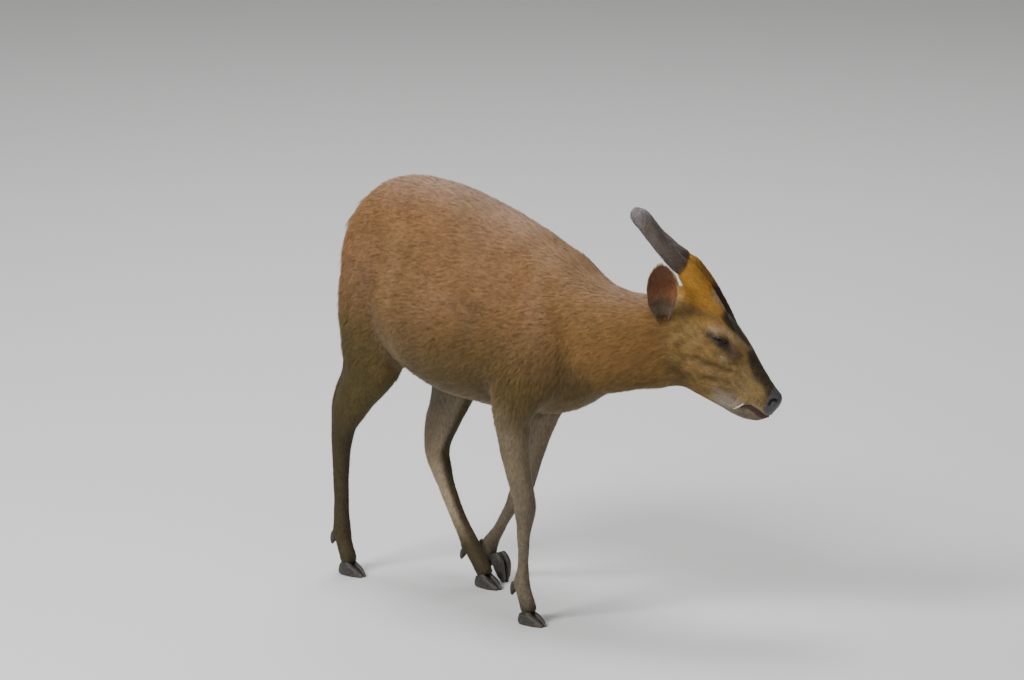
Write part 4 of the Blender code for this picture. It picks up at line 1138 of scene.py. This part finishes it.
def grow(thing, tree, values):
    """Run a tree of geometry nodes on the object and keep what it makes as plain mesh."""
    growing = thing.modifiers.new("growing", "NODES")
    growing.node_group = tree
    for item in tree.interface.items_tree:
        if item.in_out == "INPUT" and item.name in values:
            growing[item.identifier] = values[item.name]
    settle(thing)


def coat_tree():
    """Scatters tufts over one stretch of skin, laid along the coat, as plain joined mesh."""
    inputs = {
        "Tuft": "Object",
        "Stretch": "Int",
        "Tufts per area": "Float",
        "Hair width": "Float",
        "Lift": "Float",
        "Spread": "Float",
        "Patch": "Float",
        "Seed": "Int",
        "Finish": "Material",
    }
    tree, entry = growing_tree("lay the coat", inputs)

    def chance(low, high, seed):
        feeds = {2: low, 3: high, "Seed": sums(tree, "ADD", entry["Seed"], seed)}
        return tree_node(tree, "FunctionNodeRandomValue", feeds, data_type="FLOAT").outputs[1]

    def times(first, second):
        return sums(tree, "MULTIPLY", first, second)

    feeds = {2: carried(tree, "stretch", "INT"), 3: entry["Stretch"]}
    here = tree_node(tree, "FunctionNodeCompare", feeds, data_type="INT", operation="EQUAL")
    feeds = {
        "Mesh": entry["Geometry"],
        "Selection": here.outputs["Result"],
        "Density": times(carried(tree, "cover", "FLOAT"), entry["Tufts per area"]),
        "Seed": entry["Seed"],
    }
    spread = tree_node(tree, "GeometryNodeDistributePointsOnFaces", feeds, distribute_method="RANDOM")
    sprouts = spread.outputs["Points"]
    facing = spread.outputs["Normal"]
    sprouts = kept(tree, sprouts, "root_normal", "FLOAT_VECTOR", "POINT", facing)
    sprouts = kept(tree, sprouts, "tone", "FLOAT", "POINT", chance(0.0, 1.0, 1))

    feeds = {0: facing, 1: carried(tree, "lie", "FLOAT_VECTOR")}
    axes = {"primary_axis": "Z", "secondary_axis": "Y"}
    laid_down = tree_node(tree, "FunctionNodeAxesToRotation", feeds, **axes)
    feeds = {"Z": times(chance(-1.0, 1.0, 2), entry["Spread"]), "X": chance(-0.05, 0.05, 3)}
    turn = tree_node(tree, "ShaderNodeCombineXYZ", feeds).outputs[0]
    turned = tree_node(tree, "FunctionNodeEulerToRotation", {0: turn}).outputs[0]
    feeds = {0: laid_down.outputs[0], 1: turned}
    pose = tree_node(tree, "FunctionNodeRotateRotation", feeds, rotation_space="LOCAL").outputs[0]
    length = times(carried(tree, "hair_length", "FLOAT"), chance(0.72, 1.18, 4))
    feeds = {
        "X": times(entry["Hair width"], chance(0.8, 1.2, 5)),
        "Y": length,
        "Z": times(times(length, entry["Lift"]), chance(0.6, 1.5, 6)),
    }
    size = tree_node(tree, "ShaderNodeCombineXYZ", feeds).outputs[0]
    tufts = stood_on(tree, sprouts, entry["Tuft"], pose, size)

    patch = scaled(tree, carried(tree, "patch", "FLOAT_VECTOR"), entry["Patch"])
    feeds = {0: carried(tree, "root_map", "FLOAT_VECTOR"), 1: patch}
    on_map = tree_node(tree, "ShaderNodeVectorMath", feeds, operation="ADD").outputs[0]
    mapped = kept(tree, tufts, "OFBake", "FLOAT2", "CORNER", on_map)
    blade = tree_node(tree, "GeometryNodeInputNormal").outputs[0]
    feeds = {0: SKIN_SHARE_OF_SHADING, 4: blade, 5: carried(tree, "root_normal", "FLOAT_VECTOR")}
    soft = tree_node(tree, "ShaderNodeMix", feeds, data_type="VECTOR")
    even = tree_node(tree, "ShaderNodeVectorMath", {0: soft.outputs[1]}, operation="NORMALIZE")
    feeds = {"Mesh": mapped, "Custom Normal": even.outputs[0]}
    shaded = tree_node(tree, "GeometryNodeSetMeshNormal", feeds, mode="FREE", domain="POINT")
    finished(tree, shaded.outputs[0], entry["Finish"])
    return tree


# Finish of the hair: the skin's own marking at the root, each tuft a little darker or lighter,
# darker at the root and lighter towards the tip, with the soft sheen of a clean summer coat.
HAIR_LOOK = {"Roughness": 0.62, "Specular IOR Level": 0.22, "Sheen Weight": 0.04, "Sheen Roughness": 0.45}
coat_finish, tree, shader = principled("summer coat hair", HAIR_LOOK)
clumps = flecked(tree, hair_look(tree, 0.7)["Mottle"], 0.35, 0.65, 0.87, 1.12)
of_tuft = ranged(tree, noted(tree, "tone", "Fac"), 0.70, 1.27)
of_tip = ranged(tree, noted(tree, "along", "Fac"), 0.72, 1.14)
feed(tree, shader, {"Base Color": scaled(tree, clumps, sums(tree, "MULTIPLY", of_tuft, of_tip))})
GROWTH_NOTES = ("lie", "hair_length", "cover", "root_normal", "patch", "root_map", "stretch")
laying = coat_tree()


def strip_notes(thing, names):
    """Take values off the mesh that only served to grow the coat."""
    for name in names:
        if name in thing.data.attributes:
            thing.data.attributes.remove(thing.data.attributes[name])


def lay_coat(name, ground, stretch, tufts_per_area, width, lift, spread, seed):
    """Grow one stretch of coat on a skin and return it as a plain mesh object."""
    grown = link(name, ground.data.copy())
    values = {
        "Tuft": tuft,
        "Stretch": stretch,
        "Tufts per area": float(tufts_per_area),
        "Hair width": width,
        "Lift": lift,
        "Spread": math.radians(spread),
        "Patch": PATCH,
        "Seed": seed,
        "Finish": coat_finish,
    }
    grow(grown, laying, values)
    strip_notes(grown, GROWTH_NOTES + ("damp",))
    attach(grown, "root")
    return grown


for number, (name, (_, *growth)) in enumerate(STRETCHES.items()):
    coat = lay_coat(name, skin, number, *growth, 20 + number)
strip_notes(skin, GROWTH_NOTES)

# Eyes: dark wet balls set deep in the skull, with a long level pupil in a brown-black iris.
# The clear front stands a little proud, and the lids cover all but a narrow almond of it.
EYE_ROUND = 72
EYE_RINGS = 32
CORNEA_RISE = 0.0007
PUPIL_HALF_LENGTH = 0.0046
PUPIL_HALF_HEIGHT = 0.0018
IRIS_RADIUS = 0.0074
PUPIL_BLACK = (0.004, 0.004, 0.006)
IRIS_BROWN = (0.040, 0.018, 0.008)
IRIS_EDGE = (0.008, 0.005, 0.004)
EYE_WHITE = (0.045, 0.030, 0.024)
FIBRES_PER_METRE = 900.0
EYE_LOOK = {"Roughness": 0.08, "Specular IOR Level": 0.25, "Coat Weight": 0.12, "Coat Roughness": 0.03}


def noise(tree, scale, detail):
    """Noise over the object's own coordinates."""
    where = tree_node(tree, "ShaderNodeTexCoord").outputs["Object"]
    feeds = {"Vector": where, "Scale": scale, "Detail": detail}
    return tree_node(tree, "ShaderNodeTexNoise", feeds).outputs["Fac"]


def made_mesh(name, made):
    """The faces worked so far, facing outwards, as an object."""
    bmesh.ops.recalc_face_normals(made, faces=made.faces)
    mesh = bpy.data.meshes.new(name)
    made.to_mesh(mesh)
    made.free()
    return link(name, mesh)


def rings_closed(name, rings, front, back):
    """A closed mesh through rings of points, with a pole at each end."""
    made = bmesh.new()
    rows = [[made.verts.new(point) for point in ring] for ring in rings]
    first = made.verts.new(front)
    last = made.verts.new(back)
    count = len(rings[0])
    for step in range(count):
        after = (step + 1) % count
        made.faces.new((first, rows[0][step], rows[0][after]))
        made.faces.new((last, rows[-1][after], rows[-1][step]))
        for row, below in zip(rows, rows[1:]):
            made.faces.new((row[step], below[step], below[after], row[after]))
    closed = made_mesh(name, made)
    closed.data.shade_smooth()
    return closed


eye_finish, tree, shader = principled("wet eye", EYE_LOOK)
fibres = noise(tree, FIBRES_PER_METRE, 3.0)
feed(tree, shader, {"Base Color": flecked(tree, fibres, 0.0, 1.0, 0.6, 1.4)})
for name, side, eye_spot in zip(("left", "right"), SIDES, eye_spots):
    axes = eye_axes(side)
    rings = []
    for row in range(1, EYE_RINGS):
        angle = math.pi * (row / EYE_RINGS) ** 1.25
        radius = EYE_RADIUS + CORNEA_RISE * float(step_up(math.cos(angle), 0.72, 0.96))
        flat = radius * math.sin(angle)
        ring = []
        for step in range(EYE_ROUND):
            turn = 2 * math.pi * step / EYE_ROUND
            spot = (flat * math.cos(turn), flat * math.sin(turn), radius * math.cos(angle))
            ring.append(eye_spot + np.array(spot) @ axes)
        rings.append(ring)
    front = eye_spot + axes[2] * (EYE_RADIUS + CORNEA_RISE)
    eyeball = rings_closed(f"eyeball_{name}", rings, front, eye_spot - axes[2] * EYE_RADIUS)
    across, over, outwards = ((places(eyeball.data) - eye_spot) @ axes.T).T
    iris = np.hypot(across, over) / IRIS_RADIUS
    pupil = np.hypot(across / PUPIL_HALF_LENGTH, over / PUPIL_HALF_HEIGHT)
    in_front = outwards > 0
    eye_colour = np.tile(EYE_WHITE, (len(iris), 1)).astype(float)
    eye_colour = laid(eye_colour, IRIS_EDGE, in_front * step_down(iris, 1.0, 1.08))
    eye_colour = laid(eye_colour, IRIS_BROWN, in_front * step_down(iris, 0.80, 0.94))
    eye_colour = laid(eye_colour, PUPIL_BLACK, in_front * step_down(pupil, 0.92, 1.12))
    note_on(eyeball.data, "marking", "FLOAT_COLOR", eye_colour)
    wear(eyeball, eye_finish)
    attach(eyeball, "root")
    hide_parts(f"eye_{name}")

# Lashes and whiskers: single stiff hairs, the lashes drooping from the upper lids, the
# whiskers in loose rows on the upper lip and chin, with a few over and below each eye.
# Whisker bed: from and to forward, from and to upward, hairs, way, and length from and to.
LASHES = 30
LASH_LENGTH = 0.0046
LASH_WIDTH = 0.00016
LASH_REACH = 0.88
LASH_BEDDING = 0.0002
WHISKER_WIDTH = 0.00022
WHISKER_ROOTING = 0.0004
WHISKER_SCATTER = 0.10
WHISKER_SWEEP = 5.25
SWEEPS_BACK_BEHIND = 0.09
CLEAR_OF_HEAD = 0.09
WHISKER_BEDS = (
    (0.072, 0.096, -0.034, -0.020, 16, (0.25, -0.28, 0.80), 0.014, 0.026),
    (0.064, 0.088, -0.053, -0.046, 9, (-0.15, -0.75, 0.45), 0.008, 0.015),
    (-0.016, 0.004, 0.008, 0.012, 4, (-0.35, 0.55, 0.60), 0.010, 0.018),
    (0.012, 0.020, -0.022, -0.020, 3, (-0.25, -0.35, 0.70), 0.010, 0.016),
)
BRISTLE_STEPS = 6
BRISTLE_SIDES = 3
BRISTLE_TAPER = 0.8
BRISTLE_DROOP = 0.20
made = bmesh.new()
rows = []
for step in range(BRISTLE_STEPS):
    along = step / BRISTLE_STEPS
    thick = 0.5 * (1 - BRISTLE_TAPER * along)
    row = []
    for corner in range(BRISTLE_SIDES):
        turn = 2 * math.pi * corner / BRISTLE_SIDES
        rise = 0.02 * math.sin(turn) * thick - BRISTLE_DROOP * along**2
        row.append(made.verts.new((thick * math.cos(turn), along, rise)))
    rows.append(row)
end = made.verts.new((0.0, 1.0, -BRISTLE_DROOP))
for corner in range(BRISTLE_SIDES):
    other = (corner + 1) % BRISTLE_SIDES
    for row, after in zip(rows, rows[1:]):
        made.faces.new((row[corner], row[other], after[other], after[corner]))
    made.faces.new((rows[-1][corner], rows[-1][other], end))
made.faces.new(rows[0][::-1])
bristle = made_mesh("bristle", made)


def bristle_tree():
    """Stands one bristle on each point, turned and sized by what the point carries."""
    inputs = {"Bristle": "Object", "Thickness": "Float", "Finish": "Material"}
    tree, entry = growing_tree("set the bristles", inputs)
    reach = carried(tree, "reach", "FLOAT")
    feeds = {0: carried(tree, "lie", "FLOAT_VECTOR"), 1: carried(tree, "stand", "FLOAT_VECTOR")}
    axes = {"primary_axis": "Y", "secondary_axis": "Z"}
    pose = tree_node(tree, "FunctionNodeAxesToRotation", feeds, **axes).outputs[0]
    feeds = {"X": entry["Thickness"], "Y": reach, "Z": reach}
    size = tree_node(tree, "ShaderNodeCombineXYZ", feeds).outputs[0]
    finished(tree, stood_on(tree, entry["Geometry"], entry["Bristle"], pose, size), entry["Finish"])
    return tree


def two_tones(tree, share, first, last):
    """A colour between two, each given with the share at which it is reached."""
    ramp = tree_node(tree, "ShaderNodeValToRGB", {"Fac": share})
    for stop, (position, tone) in zip(ramp.color_ramp.elements, (first, last)):
        stop.position = position
        stop.color = (*tone, 1.0)
    return ramp.outputs["Color"]


BRISTLE_LOOK = {"Roughness": 0.50, "Specular IOR Level": 0.25}
BRISTLE_BLACK = (0.010, 0.008, 0.007)
BRISTLE_BROWN = (0.050, 0.040, 0.032)
bristle_finish, tree, shader = principled("stiff dark hair", BRISTLE_LOOK)
tones = two_tones(tree, noise(tree, 240.0, 2.0), (0.40, BRISTLE_BLACK), (0.70, BRISTLE_BROWN))
feed(tree, shader, {"Base Color": tones})
setting = bristle_tree()


def set_bristles(name, beds, thickness):
    """One piece of bristles from rows of place, stand, lie and reach."""
    spots, stands, lies, reaches = zip(*beds)
    mesh = bpy.data.meshes.new(name)
    mesh.from_pydata(spots, [], [])
    note_on(mesh, "stand", "FLOAT_VECTOR", stands)
    note_on(mesh, "lie", "FLOAT_VECTOR", lies)
    note_on(mesh, "reach", "FLOAT", reaches)
    piece = link(name, mesh)
    grow(piece, setting, {"Bristle": bristle, "Thickness": thickness, "Finish": bristle_finish})
    strip_notes(piece, ("stand", "lie", "reach"))
    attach(piece, "root")


def surface_of(mesh):
    """The mesh's faces, to be searched for what lies nearest or in the way."""
    corners = [vertex.co[:] for vertex in mesh.vertices]
    return BVHTree.FromPolygons(corners, [face.vertices[:] for face in mesh.polygons])


hide_surface = surface_of(skin.data)
chance = np.random.default_rng(40)
for name, side, eye_spot in zip(("left", "right"), SIDES, eye_spots):
    axes = eye_axes(side)
    along, over, outwards = axes
    beds = []
    for step in range(LASHES):
        t = LASH_REACH * (2 * step / (LASHES - 1) - 1)
        x = t * EYE_HALF_LENGTH
        y = LID_TOP * (1 - t * t) ** 0.75 + LASH_BEDDING
        height = math.sqrt((EYE_RADIUS + LID_THICKNESS) ** 2 - x * x - y * y) - LASH_BEDDING
        lie = 0.80 * outwards + (0.10 + 0.12 * chance.normal()) * over
        lie = lie + (0.35 * t + 0.10 * chance.normal()) * along
        reach = LASH_LENGTH * (1.15 - 0.4 * t * t) * chance.uniform(0.8, 1.15)
        beds.append((eye_spot + np.array((x, y, height)) @ axes, over, lie, reach))
    set_bristles(f"lashes_{name}", beds, LASH_WIDTH)
    beds = []
    for near, far, low, high, count, way, shortest, longest in WHISKER_BEDS:
        for step in range(count):
            ahead = chance.uniform(near, far)
            start = on_head(ahead, chance.uniform(low, high), side * CLEAR_OF_HEAD)
            hit, normal, _, _ = hide_surface.ray_cast(start, -LEFT * side)
            if hit is None:
                continue
            lie = FORWARD * way[0] + UP * way[1] + LEFT * side * way[2]
            lie = lie + Vector(chance.normal(size=3)) * WHISKER_SCATTER
            lie = lie - FORWARD * WHISKER_SWEEP * (SWEEPS_BACK_BEHIND - ahead)
            reach = chance.uniform(shortest, longest)
            beds.append((hit - normal * WHISKER_ROOTING, normal, lie, reach))
    set_bristles(f"whiskers_{name}", beds, WHISKER_WIDTH)
bpy.data.objects.remove(bristle)

# Antlers: first-year spikes of bone still in velvet, a soft furred skin, on the furred pedicles.
# They are blunt and a little swollen at the tip, dark at the foot and grey at the end.
# Growth of the velvet: tufts per square metre, hair width, lift, and spread in degrees.
ANTLER_ROOTING = 0.0070
ANTLER_FLARE = 0.14
VELVET_DARK = (0.060, 0.040, 0.030)
VELVET_BROWN = (0.125, 0.094, 0.078)
VELVET_GREY = (0.185, 0.168, 0.168)
VELVET_LOOK = {"Roughness": 0.82, "Sheen Weight": 0.35, "Sheen Roughness": 0.5}
VELVET_HAIR = 0.0017
VELVET_GROWTH = (1500000, 0.00022, 0.42, 25)
TOUCHES_FLESH = 0.0013
MOST_SWOLLEN_BACK = 0.0012


def rounded_copy(name, nodes, levels, rooting, straight=False):
    """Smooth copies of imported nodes, swollen back to size, with their roots sunk in the flesh."""
    copy = joined_solids(name, nodes)
    before = surface_of(copy.data)
    held = places(copy.data)
    nearest = [solids.find_nearest(Vector(point)) for point in held]
    rooted = np.array([found[3] < TOUCHES_FLESH for found in nearest])
    inward = -np.array([found[1][:] for found in nearest])
    if straight:
        foot = held[rooted].mean(axis=0)
        way = unit(foot - held[~rooted].mean(axis=0))
        off = held - foot
        inward = way - ANTLER_FLARE / rooting * (off - (off @ way)[:, None] * way)
    put(copy.data, held + inward * (rooting * rooted)[:, None])
    rounder(copy, levels)
    settle(copy)
    full = places(copy.data)
    shrunk = np.array([before.find_nearest(Vector(point))[3] for point in full])
    shrunk = evened(np.minimum(shrunk, MOST_SWOLLEN_BACK), edge_ends(copy.data), 6, 0.5)
    outside = np.array([solids.find_nearest(Vector(point))[3] for point in full])
    put(copy.data, full + outward(copy.data) * (shrunk * step_up(outside, 0.0, 0.003))[:, None])
    copy.data.shade_smooth()
    return copy


velvet_finish, tree, shader = principled("antler velvet", VELVET_LOOK)
hair = hair_look(tree, 1.6)
feeds = {
    "Base Color": flecked(tree, hair["Mottle"], 0.35, 0.65, 0.75, 1.20),
    "Normal": relief(tree, hair["Relief"], 0.5, 0.0005),
}
feed(tree, shader, feeds)
for number, name in enumerate(("left", "right")):
    antler = rounded_copy(f"antler_in_velvet_{name}", [f"antler_{name}"], 3, ANTLER_ROOTING, straight=True)
    at = places(antler.data)
    back_along = -head_places(at)[:, 0]
    share = (back_along - back_along.min()) / (back_along.max() - back_along.min())
    lumps = 0.00035 * soft_patches(at, 0.022, 31) + 0.00016 * soft_patches(at, 0.008, 32)
    waist = 0.0009 * step_down(share, 0.05, 0.20)
    at = at + outward(antler.data) * (lumps - waist)[:, None]
    put(antler.data, at)
    grey_end = 0.85 * step_up(share, 0.66, 1.0) + 0.16 * soft_patches(at, 0.012, 33)
    velvet_colour = np.tile(VELVET_BROWN, (len(at), 1)).astype(float)
    velvet_colour = laid(velvet_colour, VELVET_DARK, 0.80 * step_down(share, 0.16, 0.50))
    velvet_colour = laid(velvet_colour, VELVET_GREY, grey_end)
    velvet_colour = laid(velvet_colour, GINGER, 0.55 * step_down(share, 0.06, 0.17))
    note_on(antler.data, "marking", "FLOAT_COLOR", velvet_colour)
    tipwards = at[share > 0.9].mean(axis=0) - at[share < 0.1].mean(axis=0)
    facing = outward(antler.data)
    grain = unit(tipwards - facing * (facing @ tipwards)[:, None] + 1e-6)
    note_on(antler.data, "lie", "FLOAT_VECTOR", grain)
    note_on(antler.data, "hair_length", "FLOAT", np.full(len(at), VELVET_HAIR))
    note_on(antler.data, "cover", "FLOAT", np.ones(len(at)))
    antler.data.attributes.new("stretch", "INT", "FACE")
    unwrap(antler, "root_map")
    unwrap(antler, "OFBake")
    wear(antler, velvet_finish)
    fuzz = lay_coat(f"coat_velvet_{name}", antler, 0, *VELVET_GROWTH, 60 + number)
    strip_notes(antler, GROWTH_NOTES)
    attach(antler, "root")
    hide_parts(f"antler_{name}")
bpy.data.objects.remove(tuft)

# Tusks: the long upper canine teeth, smooth ivory, creamy at the gum and worn pale at the point.
# Each is rooted in the upper jaw, inside the lip.
TUSK_ROOTING = 0.0020
IVORY_CREAM = (0.40, 0.32, 0.20)
IVORY_PALE = (0.66, 0.60, 0.47)
IVORY_LOOK = {
    "Roughness": 0.28,
    "Specular IOR Level": 0.5,
    "Subsurface Weight": 0.15,
    "Subsurface Radius": (0.003, 0.002, 0.001),
}
ivory_finish, tree, shader = principled("tusk ivory", IVORY_LOOK)
tones = two_tones(tree, noise(tree, 500.0, 4.0), (0.30, IVORY_CREAM), (0.65, IVORY_PALE))
feed(tree, shader, {"Base Color": tones})
for name in ("left", "right"):
    tusk = rounded_copy(f"tusk_tooth_{name}", [f"tusk_{name}"], 2, TUSK_ROOTING, straight=True)
    wear(tusk, ivory_finish)
    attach(tusk, "root")
    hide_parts(f"tusk_{name}")

# Hooves and dew claws: dark horn grown from the toe in close rings, dusty and worn at the rim,
# rooted under the hair of the foot. The soles stay where the solids have them.
HORN_DARK = (0.030, 0.025, 0.021)
HORN_WORN = (0.105, 0.086, 0.066)
HOOF_ROOTING = 0.0030
RING_STEP = 0.0021
WAVE_STEP = 0.0042
WAVE_HEIGHT = 0.00012
SOLE_LEVEL = 0.0006
horn_finish, tree, shader = principled("hoof horn", {"Specular IOR Level": 0.5})
dirt = noise(tree, 320.0, 6.0)
spaced = sums(tree, "MULTIPLY", noted(tree, "growth", "Fac"), 2 * math.pi / RING_STEP)
rough = sums(tree, "MULTIPLY_ADD", sums(tree, "SINE", spaced), 0.5, dirt)
feeds = {
    "Base Color": flecked(tree, dirt, 0.35, 0.70, 0.65, 1.55),
    "Roughness": ranged(tree, dirt, 0.36, 0.72),
    "Normal": relief(tree, rough, 0.6, 0.0003),
}
feed(tree, shader, feeds)
for foot in ("foreleg_left", "foreleg_right", "hindleg_left", "hindleg_right"):
    for kind in ("claw", "dewclaw"):
        nodes = [f"{foot}_{kind}_left", f"{foot}_{kind}_right"]
        horn = rounded_copy(f"{foot}_{kind}_horn", nodes, 2, HOOF_ROOTING)
        at = places(horn.data)
        nearest = [solids.find_nearest(Vector(point)) for point in at]
        gap = np.array([found[3] for found in nearest])
        off = at - np.array([found[0][:] for found in nearest])
        inside = np.sum(off * np.array([found[1][:] for found in nearest]), axis=1) < 0
        grown = np.where(inside, -gap, gap)
        waves = WAVE_HEIGHT * np.sin(grown * 2 * math.pi / WAVE_STEP)
        at = at + outward(horn.data) * waves[:, None]
        if kind == "claw":
            at[:, 2] = np.where(at[:, 2] < SOLE_LEVEL, 0.0, at[:, 2])
        put(horn.data, at)
        worn = 0.55 * step_up(grown / max(grown.max(), 1e-6), 0.45, 1.0)
        worn = worn + 0.15 * soft_patches(at, 0.012, 51)
        horn_colour = laid(np.tile(HORN_DARK, (len(at), 1)).astype(float), HORN_WORN, worn)
        note_on(horn.data, "marking", "FLOAT_COLOR", horn_colour)
        note_on(horn.data, "growth", "FLOAT", grown)
        wear(horn, horn_finish)
        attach(horn, "root")
        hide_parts(*nodes)

# Floor, light and camera: a pale studio floor, four soft lamps, a dim even sky and a long lens
# that looks at the animal's right side from a little in front, as the photo does.
CAMERA_AZIMUTH = math.radians(50)
CAMERA_ELEVATION = math.radians(13)
CAMERA_DISTANCE = 30.0
CAMERA_LENS = 864.7
LOOK_AT = Vector((-0.024, -0.019, 0.327))
LAMPS_LOOK_AT = Vector((0, 0, 0.3))
FLOOR_HALF = 6.0
SKY = (0.88, 0.87, 0.84, 1.0)
SKY_STRENGTH = 0.24
# Lamp: its name, place, size and power.
LAMPS = (
    ("key lamp", (0.0, -2.4, 2.5), 1.1, 112.0),
    ("top lamp", (-0.8, 0.1, 3.0), 1.2, 62.0),
    ("fill lamp", (2.6, -0.8, 1.6), 2.0, 18.0),
    ("rim lamp", (-1.8, 1.6, 2.2), 1.4, 30.0),
)
away_to_camera = Vector(
    (
        math.sin(CAMERA_AZIMUTH) * math.cos(CAMERA_ELEVATION),
        -math.cos(CAMERA_AZIMUTH) * math.cos(CAMERA_ELEVATION),
        math.sin(CAMERA_ELEVATION),
    )
)
lens = bpy.data.cameras.new("long lens")
lens.lens = CAMERA_LENS
lens.clip_end = 120.0
camera = link("camera", lens)
camera.location = LOOK_AT + away_to_camera * CAMERA_DISTANCE
camera.rotation_euler = (-away_to_camera).to_track_quat("-Z", "Y").to_euler()
bpy.context.scene.camera = camera

corners = [(sx * FLOOR_HALF, sy * FLOOR_HALF, 0.0) for sx, sy in ((-1, -1), (1, -1), (1, 1), (-1, 1))]
floor_mesh = bpy.data.meshes.new("floor")
floor_mesh.from_pydata(corners, [], [(0, 1, 2, 3)])
floor = link("floor", floor_mesh)
floor_finish, tree, shader = principled("pale studio floor", {"Roughness": 0.85})
feed(tree, shader, {"Base Color": ranged(tree, noise(tree, 0.25, 2.0), 0.62, 0.66)})
wear(floor, floor_finish)

for name, place, size, power in LAMPS:
    light = bpy.data.lights.new(name, "AREA")
    light.size = size
    light.energy = power
    lamp = link(name, light)
    lamp.location = place
    lamp.rotation_euler = (Vector(place) - LAMPS_LOOK_AT).to_track_quat("Z", "Y").to_euler()
world = bpy.data.worlds.new("studio")
world.use_nodes = True
sky = world.node_tree.nodes["Background"]
feed(world.node_tree, sky, {"Color": SKY, "Strength": SKY_STRENGTH})
bpy.context.scene.world = world
